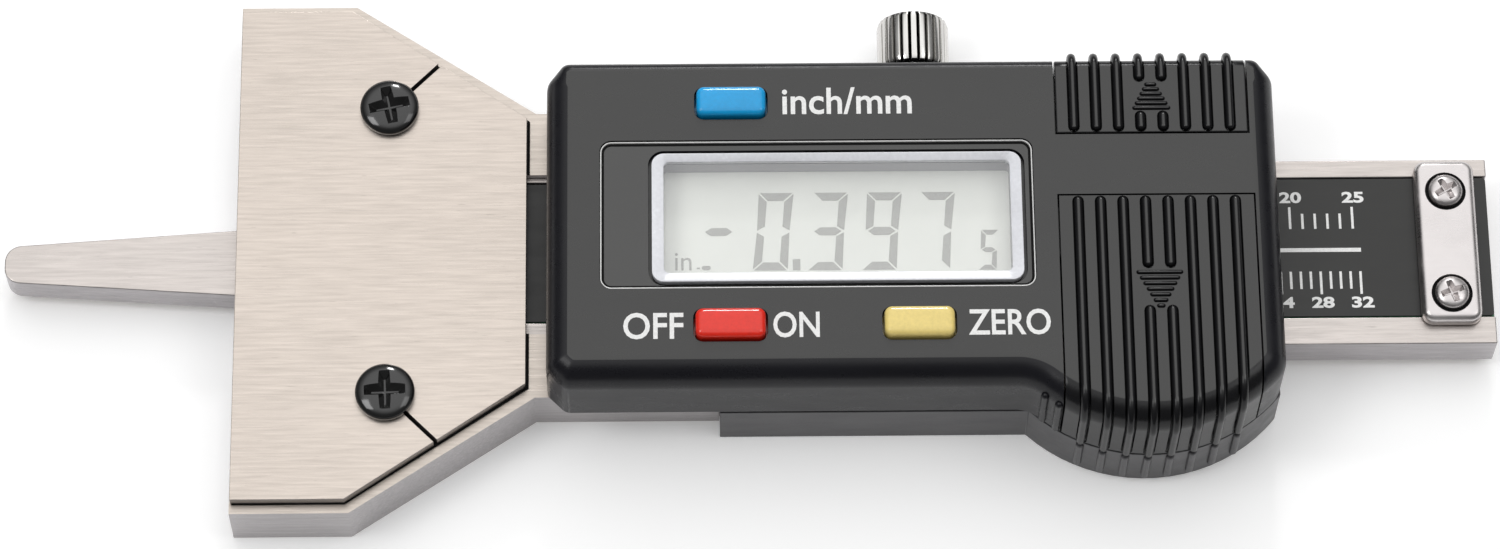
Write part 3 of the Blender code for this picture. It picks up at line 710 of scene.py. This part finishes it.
# Pale for the light caught by the clear lens's sloped rim: a painted highlight.
RIM_HIGHLIGHT_WHITE = moulded("window_rim_painted_highlight", (0.77, 0.78, 0.82), 0.25, 3000, 1e-6)
WELL_GREY = moulded("window_well", (0.42, 0.41, 0.43), 0.5, 3000, 2e-6)
LCD_FACE = lcd_surface("lcd_face")
LCD_INK = printed("lcd_segments", (0.43, 0.43, 0.40), 0.5)
CLEAR = clear_plastic("clear_window")
BOARD_GREEN = circuit("circuit_board")
CHIP_BLACK = moulded("chip_epoxy", (0.02, 0.02, 0.02), 0.45, 8000, 6e-6)
ELASTOMER = moulded("zebra_elastomer", (0.75, 0.45, 0.50), 0.6, 2500, 4e-6)
REFLECTOR = plated("lcd_backing", (0.78, 0.78, 0.76), 0.35)


# ---------------- pieces


def cross_outline(x, y, span, width, turn):
    """A plus sign, for driver recesses."""
    arm, half = span / 2, width / 2
    points = []
    for quadrant in range(4):
        angle = math.radians(turn + 90 * quadrant)
        cos, sin = math.cos(angle), math.sin(angle)
        for px, py in ((arm, -half), (arm, half), (half, half)):
            points.append(Vector((x + px * cos - py * sin, y + px * sin + py * cos)))
    return points


def recess(x, y, top, span, width, depth, turn=0.0, up=1):
    """A tapered cross recess, cut down from the top, or up from the back with up = -1."""
    mouth = cross_outline(x, y, span * 1.06, width * 1.15, turn)
    face = cross_outline(x, y, span, width, turn)
    floor = cross_outline(x, y, span * 0.6, width * 0.16, turn)
    return loft([at(mouth, top + up * 0.3), at(face, top), at(floor, top - up * depth)])


def pan_head(x, y, seat, size, tip, turn, edge):
    """A pan-head screw: pointed shank, domed head and a cross recess."""
    radius, height, shank = size
    top = seat + height
    profile = [(shank * 0.5, tip), (shank, tip + shank * 0.4), (shank, seat), (radius * 0.97, seat)]
    for angle in map(math.radians, range(0, 88, 11)):
        profile.append((radius * math.cos(angle), seat + height * (0.42 + 0.58 * math.sin(angle))))
    profile.append((0.06, top))
    head = moved(turned(profile), Matrix.Translation((x, y, 0)))
    cross = recess(x, y, top, radius * 1.52, radius * 0.42, height * 0.75, turn)
    return carved(head, ("-", cross), edge=edge)


def flat_back_screw(x, y, size, tip):
    """A countersunk screw with its head to the back, and its cross recess."""
    radius, height, shank = size
    profile = [(radius * 0.94, BACK_SINK), (radius, BACK_SINK + 0.08), (shank, BACK_SINK + height)]
    profile += [(shank, tip - 0.4), (shank * 0.6, tip)]
    screw = moved(turned(profile, 40), Matrix.Translation((x, y, 0)))
    cross = recess(x, y, BACK_SINK, radius * 1.3, radius * 0.32, height * 0.7, 45, -1)
    return carved(screw, ("-", cross), edge=0.03)


def make_foot():
    """The frame with its foot, the cover plate on a thin strip of painted seam shadow, and the plate's two
    screws.
    """
    keep("frame_body", STEEL, 0.14, 3)
    cover_x, cover_y, (cover_back, cover_front) = spans("foot_cover")
    keep("foot_cover", COVER_STEEL, 0.05)
    # A thin dark strip under the cover plate and just past its edge: painted shadow in the seam.
    side = cover_y[1] + SEAM_SHADE
    corner_x, neck_y = FOOT_CORNER_X + SEAM_SHADE * 0.4, NECK_SIDE + SEAM_SHADE * 0.6
    half = [(cover_x[0] + 0.1, side), (corner_x, side), (cover_x[1] + 0.22, neck_y)]
    outline = [Vector((x, -y)) for x, y in half] + [Vector(point) for point in reversed(half)]
    seam_z = (spans("frame_body")[2][1] + 0.005, cover_back + 0.04)
    cut_z = (4, 7)
    steps = [("-", post(FOOT_SCREW_X, y, 1.3, cut_z)) for y, _ in FOOT_SCREWS.values()]
    steps.append(("-", box(*BEAM_WAY, cut_z)))
    show("foot_cover_painted_seam_shadow", carved(prism(outline, seam_z), *steps), SEAM_SHADOW_BLACK, "gauge_body")
    for name, (_, turn) in FOOT_SCREWS.items():
        node = f"foot_screw_{name}"
        x_span, y_span, (tip, _) = spans(node)
        place = (middle(x_span), middle(y_span), cover_front + 0.02)
        head = pan_head(*place, FOOT_SCREW, tip, turn, 0.07)
        show(f"{node}_head", head, BLACK_STEEL, "gauge_body", [node])


def make_beam():
    """The beam and its probe in one piece, the strip and the film on it, and its end stop."""
    beam_x, beam_y, beam_z = spans("beam")
    label_x, label_y, label_z = spans("scale_label")
    label_y = (label_y[0] + LABEL_SHIFT, label_y[1] + LABEL_SHIFT)
    root_x = SHOULDER_X + 1
    probe = rounded(
        [
            (beam_x[0], -TIP_HALF, TIP_ROUND),
            (TAPER_END, -PROBE_HALF, 0),
            (root_x, -PROBE_HALF, 0),
            (root_x, PROBE_HALF, 0),
            (TAPER_END, PROBE_HALF, 0),
            (beam_x[0], TIP_HALF, TIP_ROUND),
        ],
        10,
    )
    stop_x, stop_y, stop_z = spans("end_stop")
    screw_y = [middle(spans(f"end_stop_screw_{name}")[1]) for name in ("upper", "lower")]
    groove = box((label_x[0] - 0.1, beam_x[1] + 1), (label_y[0] - 0.1, label_y[1] + 0.1), (4.0, 6))
    steps = [("+", prism(probe, (beam_z[0], PROBE_FRONT))), ("-", groove)]
    steps += [("-", post(middle(stop_x), y, 0.95, (1.9, 7))) for y in screw_y]
    beam = carved(box((SHOULDER_X, beam_x[1]), beam_y, beam_z), *steps, edge=0.13, segments=3)
    show("sliding_bar", beam, BEAM_STEEL, "sliding_beam", ["beam"])
    keep("scale_strip", BOARD_GREEN)
    film_holes = [("-", post(middle(stop_x), y, STOP_HOLE, STOP_CUT)) for y in screw_y]
    film = carved(prism(rectangle(label_x, label_y, 0.25), label_z), *film_holes, edge=0.04)
    show("scale_film", film, LABEL_BLACK, "sliding_beam", ["scale_label"])
    make_scale(label_z[1])
    make_end_stop(stop_x, stop_y, stop_z, screw_y)


def make_scale(top):
    """White scales on the label: millimetres above, 32nds of an inch below."""
    ink = (top - 0.01, top + 0.015)
    ticks = [box(*SCALE_LINE, ink)]
    numbers = []
    for last, step, every, (start, end, numbered_end), base, shift, wide in SCALES:
        for n in range(last + 1):
            x = ZERO_X + n * step
            numbered = n % every == 0
            tick_y = sorted((start, numbered_end if numbered else end))
            ticks.append(box(around(x, TICK_HALF), tick_y, ink))
            if numbered:
                half = wide if n > 9 else NARROW_HALF
                numbers.append((str(n), around(x + shift, half), base, NUMBER_HIGH))
    show("scale_ticks", together(ticks), WHITE_INK, "sliding_beam")
    show("scale_numbers", lettering(numbers, ink, 0.035), WHITE_INK, "sliding_beam")


def make_end_stop(x_span, y_span, z_span, screw_y):
    """The plated plate at the beam's end: rolled long edges, two screws in shallow dimples."""
    back, front = z_span
    levels = [(0.1, back), (0.0, back + 0.1)]
    for turn in map(math.radians, range(0, 91, 15)):
        levels.append((STOP_ROLL * (1 - math.cos(turn)), front - STOP_ROLL + STOP_ROLL * math.sin(turn)))
    rings = [at(rectangle(x_span, y_span, STOP_ROUND, 8, inset), z) for inset, z in levels]
    centre = middle(x_span)
    dimples = []
    for y in screw_y:
        dimples.append(("-", post(centre, y, 1.62, (front - 0.3, front + 1))))
        dimples.append(("-", post(centre, y, STOP_HOLE, STOP_CUT)))
    plate = carved(loft(rings), *dimples, edge=0.05)
    show("end_stop_plate", plate, NICKEL, "sliding_beam", ["end_stop"])
    for name, y, turn in zip(("upper", "lower"), screw_y, (30, 18)):
        head = pan_head(centre, y, front - 0.26, STOP_SCREW, 2.0, turn, 0.04)
        node = f"end_stop_screw_{name}"
        show(f"{node}_head", head, NICKEL, "sliding_beam", [node])
        # A thin dark ring of painted shadow round the screw head.
        disc = post(centre, y, 1.6, (front - 0.31, front - 0.25))
        ring = carved(disc, ("-", post(centre, y, 1.15, STOP_CUT)))
        show(f"{node}_shadow_ring", ring, SEAM_SHADOW_BLACK, "sliding_beam")


def shell_solid():
    """The housing's outer volume. Its front rim is rounded, more tightly along the upper side."""
    outline = shell_outline()
    blend_start, blend_length = SHELL_SIDE - CORNER_CUT - 0.4, CORNER_CUT + 0.3
    climbs = [min(max((point.y - blend_start) / blend_length, 0.0), 1.0) for point in outline]
    shares = [climb * climb * (3 - 2 * climb) for climb in climbs]
    turns = [SHELL_ROUND + (UPPER_ROUND - SHELL_ROUND) * share for share in shares]
    rings = [at(shell_outline(-0.08), SHELL_BACK), at(outline, SHELL_BACK + 0.1)]
    for angle in (math.radians(90 * step / 8) for step in range(9)):
        back_by = 1 - math.cos(angle)
        wide = shell_outline(-SHELL_ROUND * back_by)
        tight = shell_outline(-UPPER_ROUND * back_by)
        places = [a.lerp(b, share) for a, b, share in zip(wide, tight, shares)]
        heights = [SHELL_FRONT - turn * (1 - math.sin(angle)) for turn in turns]
        rings.append([Vector((place.x, place.y, z)) for place, z in zip(places, heights)])
    return loft(rings)


def button_place(node):
    x_span, y_span, z_span = spans(node)
    return middle(x_span), middle(y_span), z_span


def button_outline(x, y, inset):
    return rectangle(around(x, BUTTON_HALF[0]), around(y, BUTTON_HALF[1]), BUTTON_ROUND, 6, inset)


def panel_outline(inset=0.0):
    return rectangle(*PANEL, PANEL_ROUND, 8, inset)


def lens_outline(inset=0.0):
    lens_x, lens_y, _ = spans("window_lens")
    return rectangle(lens_x, lens_y, LENS_ROUND, 8, inset)


def lid_beds():
    """Cuts that make room for the two sliding covers and their gaps."""
    cuts = []
    for node, lower, _, _ in LIDS:
        (left, right), y_span, _ = spans(node)
        bed_x = (left - SEAM, right + SEAM)
        bed_y = (-FAR_Y, y_span[1] + SEAM) if lower else (y_span[0] - SEAM, FAR_Y)
        wall_y = (-FAR_Y, -LID_WALL_Y) if lower else (LID_WALL_Y, FAR_Y)
        cuts.append(("-", box(bed_x, bed_y, (LID_FLOOR, FAR_Z))))
        cuts.append(("-", box(bed_x, wall_y, (0, FAR_Z))))
    return cuts


def make_housing():
    """The front shell with its inner decks and screw bosses, and the ribs on its flank."""
    steps = [("-", prism(shell_outline(-SHELL_WALL), (0, CEILING)))]
    steps += [("+", post(x, y, BOSS_RADIUS, (SHELL_BACK + 0.1, LEDGE_TOP))) for x, y in BOSSES]
    steps += [("+", box(*deck, (DECK_BACK, LEDGE_TOP))) for deck in (MIDDLE_DECK, DATA_DECK)]
    steps += [("-", post(x, y, BOSS_BORE, (0, 10))) for x, y in BOSSES]
    steps += lid_beds()
    steps.append(("-", box(*DATA_OPENING, (9, FAR_Z))))
    steps.append(("-", prism(panel_outline(), (PANEL_FLOOR, FAR_Z))))
    steps.append(("-", prism(lens_outline(-MOAT), (LEDGE_TOP, FAR_Z))))
    steps.append(("-", prism(rectangle(*VIEW, 0.4), THROUGH)))
    for node in ("blue_button", "red_button", "yellow_button"):
        x, y, _ = button_place(node)
        steps.append(("-", prism(button_outline(x, y, -BUTTON_GAP), THROUGH)))
    shell = carved(shell_solid(), *steps, edge=0.11, angle=40)
    # The shell's steep faces and the flank ribs below take the darker charcoal copy: painted shade.
    show("front_shell", shell, CHARCOAL, "gauge_body", ["housing"], CHARCOAL_SHADED_SIDE)
    make_panel()
    flank = [flank_rib(x, 10.4, RIB_FOOT) for x in FLANK_RIBS]
    show("shell_flank_ribs", together(flank), CHARCOAL_SHADED_SIDE, "gauge_body")
    rib_places = rib_lines(middle(spans("battery_cover")[0]))
    rear = [flank_rib(x, REAR_TOP - 0.5, 1.1) for x, _ in rib_places]
    show("rear_flank_ribs", together(rear), REAR_CHARCOAL, "gauge_body")


def flank_rib(x, top, foot):
    """An upright rib on the lower wall."""
    y = wall_at(x)
    return rod([(x, y, top), (x, y, foot)], RIB_RADIUS)


def wall_at(x):
    """The Y of the lower wall at this X, fillet included."""
    half_way = middle((SHELL_LEFT, SHELL_RIGHT))
    points = [p for p in shell_outline() if p.y < -SHELL_SIDE + 0.01 and p.x > half_way]
    points.sort(key=lambda p: p.x)
    for a, b in zip(points, points[1:]):
        if a.x <= x <= b.x:
            return a.y + (b.y - a.y) * (x - a.x) / max(b.x - a.x, 1e-6)
    return points[-1].y


def make_panel():
    """The recessed display panel's gloss plate, a painted highlight line and a painted shadow line at its
    edge, and the printed words.
    """
    plate_z = (PANEL_FLOOR - 0.03, PANEL_FLOOR + 0.035)
    plate = ring_plate(panel_outline(0.06), lens_outline(-MOAT), plate_z, 0.02)
    show("display_panel", plate, PANEL_BLACK, "gauge_body")
    # A pale ring of painted highlight along the panel's edge, and inside it a dark ring of painted shadow.
    highlight_z = (PANEL_FLOOR - 0.02, SHELL_FRONT - 0.12)
    highlight_ring = ring_plate(panel_outline(0.06), panel_outline(0.16), highlight_z, 0.03)
    show("panel_edge_painted_highlight", highlight_ring, PANEL_HIGHLIGHT_GREY, "gauge_body")
    shadow_z = (PANEL_FLOOR, PANEL_FLOOR + 0.06)
    shadow = ring_plate(panel_outline(0.17), panel_outline(0.36), shadow_z)
    show("panel_edge_shadow", shadow, SEAM_SHADOW_BLACK, "gauge_body")
    ink = (SHELL_FRONT - 0.01, SHELL_FRONT + 0.02)
    show("panel_words", lettering(WORDS, ink, 0.014), WHITE_INK, "gauge_body")


def rib_lines(centre):
    """Each rib's X, and whether it is one of the two in the middle."""
    first = centre - RIB_PITCH * (RIB_COUNT - 1) / 2
    return [(first + RIB_PITCH * n, n in (RIB_COUNT // 2 - 1, RIB_COUNT // 2)) for n in range(RIB_COUNT)]


def rib_path(x, start, wall, sign, lift, rounding):
    """A rib's centreline from its start, over the rim and down the wall."""
    face, rim, reach = SHELL_FRONT + RIB_LIFT, wall - sign * rounding, rounding + lift
    past_rim = max(sign * (start - rim), 0.0)
    first = math.asin(past_rim / reach)
    turns = [first, *(turn for turn in map(math.radians, range(15, 91, 15)) if turn > first + 0.1)]
    path = [] if past_rim else [(x, start, face)]
    for turn in turns:
        y = rim + sign * reach * math.sin(turn)
        path.append((x, y, face - (rounding + RIB_LIFT) * (1 - math.cos(turn))))
    return [*path, (x, wall + sign * lift, RIB_FOOT)]


def lid_ribs(centre, y_edge, lower, gap, radius):
    """The half-round ribs of a sliding cover: along its face, over the rim and down the wall."""
    sign = -1 if lower else 1
    wall_lift, rounding = (0.1, SHELL_ROUND) if lower else (0.33, UPPER_ROUND)
    face = SHELL_FRONT + RIB_LIFT
    rods = []
    for x, central in rib_lines(centre):
        wall = wall_at(x) if lower else SHELL_SIDE
        start = y_edge + sign * 0.5
        if central:
            rods.append(rod([(x, start, face), (x, gap[0], face)], radius))
            start = gap[1]
        rods.append(rod(rib_path(x, start, wall, sign, wall_lift, rounding), radius))
    return rods


def arrow_bars(centre, y_wide, y_narrow, wide, narrow, count, radius):
    """Short raised bars that shrink into an arrowhead."""
    bars = []
    for index in range(count):
        share = index / (count - 1)
        half = (wide + (narrow - wide) * share) / 2
        y = y_wide + (y_narrow - y_wide) * share
        z = SHELL_FRONT + RIB_LIFT
        bars.append(rod([(centre - half, y, z), (centre + half, y, z)], radius, 10))
    return bars


def make_lids():
    """The two sliding covers: pieces of the shell's volume with ribs in shallow trenches."""
    cavity = shell_outline(-LID_WALL)
    for node, lower, gap, arrow in LIDS:
        x_span, y_span, _ = spans(node)
        edge_y = y_span[1] if lower else y_span[0]
        zone_y = (-FAR_Y, edge_y) if lower else (edge_y, FAR_Y)
        zone = box(x_span, zone_y, (LID_BACK, FAR_Z))
        inside = prism(cavity, (0, LID_FLOOR + 0.1))
        lid = carved(shell_solid(), ("&", zone), ("-", inside), edge=0.09, angle=40)
        centre = middle(x_span)
        trench, ribs = (
            together(lid_ribs(centre, edge_y, lower, gap, radius) + arrow_bars(centre, *arrow, bar))
            for radius, bar in (
                (RIB_RADIUS + RIB_TRENCH, ARROW_RADII["trench"]),
                (RIB_RADIUS, ARROW_RADII["rib"]),
            )
        )
        lid = carved(lid, ("-", trench), ("+", ribs))
        # The lid's steep faces take the darker copy: painted shade.
        show(f"{node}_ribbed", lid, LID_CHARCOAL, node, [node], LID_SHADED_SIDE)


def make_window():
    """The window's sloped rim, pale with painted highlight, its clear sheet, the pale well and the display
    under it.
    """
    _, _, (lens_back, lens_front) = spans("window_lens")
    view_edge = rectangle(*VIEW, 0.5, 8, 0.05)
    opening = loft([
        at(view_edge, 10),
        at(view_edge, SLOPE_BACK),
        at(lens_outline(0.1), lens_front + 0.01),
    ])
    # The clear lens's rim, made pale: a painted highlight.
    rim = carved(prism(lens_outline(), (lens_back, lens_front)), ("-", opening), edge=0.05)
    show("window_rim_painted_highlight", rim, RIM_HIGHLIGHT_WHITE, "gauge_body", ["window_lens"])
    sheet_z = (SLOPE_BACK - 0.25, SLOPE_BACK - 0.05)
    sheet = carved(prism(rectangle(*VIEW, 0.3, 6, 0.07), sheet_z), edge=0.03)
    show("window_sheet", sheet, CLEAR, "gauge_body", [])
    glass_x, glass_y, glass_z = spans("lcd_glass")
    glass_front = glass_z[1]
    well_z = (glass_front + 0.03, lens_back - 0.15)
    well = ring_plate(rectangle(*VIEW, 0.4, 6, -0.5), rectangle(*VIEW, 0.35, 6, 0.02), well_z)
    show("window_well", well, WELL_GREY, "gauge_body")
    cell = carved(box(glass_x, glass_y, glass_z), edge=0.15)
    show("lcd_cell", cell, LCD_FACE, "gauge_body", ["lcd_glass"])
    make_digits(glass_front)


def digit(character, x, y, wide, high, thick):
    """Seven-segment outlines of one character, leaning to the right."""
    gap, half = thick * 0.14, high / 2
    point = thick / 2
    left, right = gap + thick, wide - gap - thick
    upper_left = [(0, high - gap), (thick, high - left), (thick, half + gap + point), (gap, half + gap)]
    shapes = {
        "a": [(gap, high), (wide - gap, high), (right, high - thick), (left, high - thick)],
        "b": [(wide - px, py) for px, py in upper_left],
        "c": [(wide - px, high - py) for px, py in upper_left],
        "d": [(gap, 0), (left, thick), (right, thick), (wide - gap, 0)],
        "e": [(px, high - py) for px, py in upper_left],
        "f": upper_left,
        "g": [
            (gap + point * 0.6, half),
            (left, half + point),
            (right, half + point),
            (wide - gap - point * 0.6, half),
            (right, half - point),
            (left, half - point),
        ],
    }
    return [
        [Vector((x + px + py * DIGIT_LEAN, y + py)) for px, py in shapes[segment]]
        for segment in SEGMENTS[character]
    ]


def make_digits(glass_front):
    """The reading: faint grey segments on the display, a decimal point and a low-battery mark."""
    outlines = []
    for character, x in READING:
        outlines += digit(character, x, DIGIT_BASE, *DIGIT_SIZE)
    outlines += digit("5", 58.75, DIGIT_BASE - 0.05, *HALF_THOUSANDTH)
    outlines += [rectangle(*mark) for mark in DISPLAY_MARKS]
    ink = (glass_front + 0.01, glass_front + 0.03)
    show("lcd_reading", together([prism(outline, ink) for outline in outlines]), LCD_INK, "gauge_body")
    show("lcd_unit", lettering([UNIT], ink, 0.0), LCD_INK, "gauge_body")


def make_buttons():
    """Each button: a stem, a flange under the shell and a pillow-shaped cap."""
    flange_back, flange_front = FLANGE_Z
    for colour, look in (("blue", BLUE), ("red", RED), ("yellow", YELLOW)):
        node = f"{colour}_button"
        x, y, (foot, top) = button_place(node)
        stem = rectangle(around(x, STEM_HALF), around(y, STEM_HALF), 0.78)
        rings = [at(stem, foot), at(stem, flange_back)]
        levels = [(-BUTTON_FLANGE, flange_back), (-BUTTON_FLANGE, flange_front), (0, flange_front + 0.01)]
        for turn in map(math.radians, range(0, 91, 9)):
            inset = PILLOW_INSET * (1 - math.cos(turn) ** PILLOW_POWER)
            levels.append((inset, top - PILLOW_DROP * (1 - math.sin(turn) ** PILLOW_POWER)))
        rings += [at(button_outline(x, y, inset), z) for inset, z in levels]
        show(f"{colour}_cap", loft(rings), look, node, [node])


def make_lock():
    """The thumb screw with its straight-fluted head."""
    node = "lock_screw"
    x_span, y_span, z_span = spans(node)
    grip = (x_span[1] - x_span[0]) / 2
    tip, top = y_span
    shank = [(1.05, tip), (1.45, tip + 0.3), (1.45, 15.5)]
    collar = [(2.3, 15.5), (2.4, 15.6), (2.4, KNURL_START - 0.1)]
    lower_rim = [(0.42, 0), (0.12, 0.12), (0, 0.42)]
    upper_rim = [(0, 0.55), (0.12, 0.22), (0.42, 0.05), (0.75, 0), (0.95, 0.1)]
    profile = [
        *shank,
        *collar,
        *((grip - inward, KNURL_START + up) for inward, up in lower_rim),
        *((grip - inward, top - down) for inward, down in upper_rim),
        (0.1, top - 0.1),
    ]
    screw = turned(profile, FLUTES * 10, FLUTES, 0.4, (KNURL_START + 0.05, top - 0.2))
    x, z = middle(x_span), middle(z_span)
    place = Matrix.Translation((x, 0, z)) @ Matrix.Rotation(math.radians(-90), 4, "X")
    # The painted flute shade fades out between these radii.
    flute_shade_radii = ((grip - 0.36) * MM, (grip - 0.02) * MM)
    metal = fluted("lock_chrome_flute_shade", (0.64, 0.63, 0.61), 0.16, ((x + FACE_X) * MM, z * MM), flute_shade_radii)
    show("thumb_screw", moved(screw, place), metal, "lock_screw", [node])
    keep("lock_pad", BRASS, 0.08)


def make_back():
    """What shows from the back and the sides: rear cover, back plate and their screws."""
    keep("rear_cover", REAR_CHARCOAL, 0.15)
    keep("back_plate", PLATE_STEEL, 0.08)
    plate_screws = [f"back_plate_screw_{index}" for index in range(1, 5)]
    shell_screws = [
        f"{part}_screw_{side}" for part in ("housing", "rear_cover") for side in ("upper", "lower")
    ]
    for nodes, size, look, slot in (
        (plate_screws, PLATE_SCREW, NICKEL, "plate_screws"),
        (shell_screws, SHELL_SCREW, BLACK_STEEL, "black_screws"),
    ):
        for node in nodes:
            x_span, y_span, z_span = spans(node)
            screw = flat_back_screw(middle(x_span), middle(y_span), size, z_span[1])
            show(f"{node}_head", screw, look, "gauge_body", [node])
    keep("gib_strip", BRASS, 0.05)
    for side in ("left", "right"):
        keep(f"gib_screw_{side}", BLACK_STEEL, 0.06)


def make_inside():
    """Parts that show when a cover slides off."""
    keep("lcd_reflector", REFLECTOR)
    keep("circuit_board", BOARD_GREEN, 0.06)
    keep("processor_chip", CHIP_BLACK, 0.12)
    keep("data_contacts", BRASS, 0.1)
    keep("button_cell", CELL_METAL, 0.12, 3)
    for side in ("upper", "lower"):
        keep(f"zebra_strip_{side}", ELASTOMER, 0.12)
    for side in ("lower", "side"):
        keep(f"battery_contact_{side}", NICKEL, 0.03)
    for colour in ("blue", "red", "yellow"):
        keep(f"{colour}_dome", NICKEL, 0.06)


# ---------------- scene

CAMERA_ANGLES = (-1.66, 66.6, 1.12)  # azimuth, elevation, roll
CAMERA_DISTANCE = 434.6
CAMERA_TARGET = Vector((0.09, -1.80, 5.0))
CAMERA_LENS = 131.3
FLOOR_REACH = 3.0
FLOOR_COLOUR = (0.93, 0.93, 0.93)
FLOOR_GLOW = 0.19
SOURCE_DIRECTION = (0, 0.33, 0.94)
SOURCE_STOPS = ((0.0, 0.1), (0.5, 0.12), (0.68, 0.32), (0.84, 0.93), (1.0, 1.0))  # cosine, brightness
SOURCE_STRENGTH = 1.45
LAMPS = (  # name, place, size, power
    ("key", (-0.55, -0.1, 0.75), 0.35, 1.6),
    ("fill", (0.6, -0.05, 0.8), 0.4, 0.8),
    ("edge", (0.05, 0.9, 0.5), 0.12, 1.8),
)


def make_camera():
    """The view: nearly from above, with the foot to the left."""
    azimuth, elevation, roll = map(math.radians, CAMERA_ANGLES)
    level = math.cos(elevation)
    back = Vector((math.sin(azimuth) * level, -math.cos(azimuth) * level, math.sin(elevation)))
    right = (-back).cross(Vector((0, 0, 1))).normalized()
    up = right.cross(-back)
    x_axis = right * math.cos(roll) + up * math.sin(roll)
    y_axis = up * math.cos(roll) - right * math.sin(roll)
    data = bpy.data.cameras.new("camera")
    data.sensor_width = 36
    data.lens = CAMERA_LENS
    data.clip_start = 0.01
    data.clip_end = 20
    camera = add_object("camera", data)
    turn = Matrix((x_axis, y_axis, back)).transposed()
    place = (CAMERA_TARGET + back * CAMERA_DISTANCE) * MM
    camera.matrix_world = Matrix.Translation(place) @ turn.to_4x4()
    bpy.context.scene.camera = camera


def make_floor():
    """A pale floor just under the gauge, with a faint glow that keeps it white."""
    mesh = bpy.data.meshes.new("floor")
    z = CAD_BOX[0].z - 0.00005
    signs = ((-1, -1), (1, -1), (1, 1), (-1, 1))
    mesh.from_pydata([(FLOOR_REACH * x, FLOOR_REACH * y, z) for x, y in signs], [], [(0, 1, 2, 3)])
    floor = add_object("floor", mesh)
    look = Look("floor", FLOOR_COLOUR, 0.9, Emission_Color=(1, 1, 1, 1), Emission_Strength=FLOOR_GLOW)
    look.tint(look.spread(look.noise(3, 2), 0.99, 1.01))
    mesh.materials.append(look.material)


def make_world():
    """Studio light: a wide soft source overhead, a little behind the gauge, in a dim room."""
    world = bpy.data.worlds.new("studio")
    bpy.context.scene.world = world
    world.use_nodes = True
    tree = world.node_tree
    tree.nodes.clear()
    place = tree.nodes.new("ShaderNodeTexCoord")
    towards = tree.nodes.new("ShaderNodeVectorMath")
    towards.operation = "DOT_PRODUCT"
    towards.inputs[1].default_value = SOURCE_DIRECTION
    ramp = tree.nodes.new("ShaderNodeValToRGB")
    light = tree.nodes.new("ShaderNodeBackground")
    light.inputs["Strength"].default_value = SOURCE_STRENGTH
    out = tree.nodes.new("ShaderNodeOutputWorld")
    elements = ramp.color_ramp.elements
    while len(elements) < len(SOURCE_STOPS):
        elements.new(0.5)
    for element, (position, level) in zip(elements, SOURCE_STOPS):
        element.position = position
        element.color = (level, level, level, 1)
    tree.links.new(place.outputs["Generated"], towards.inputs[0])
    tree.links.new(towards.outputs["Value"], ramp.inputs[0])
    tree.links.new(ramp.outputs[0], light.inputs[0])
    tree.links.new(light.outputs[0], out.inputs[0])


def make_lights():
    """Soft lamps that all look at the gauge."""
    for name, place, size, power in LAMPS:
        data = bpy.data.lights.new(name, "AREA")
        data.size = size
        data.energy = power
        lamp = add_object(name, data)
        lamp.location = place
        lamp.rotation_euler = (-Vector(place)).to_track_quat("-Z", "Y").to_euler()


make_camera()
make_floor()
make_world()
make_lights()
bpy.context.scene.view_settings.view_transform = "Standard"
make_foot()
make_beam()
make_housing()
make_lids()
make_window()
make_buttons()
make_lock()
make_back()
make_inside()
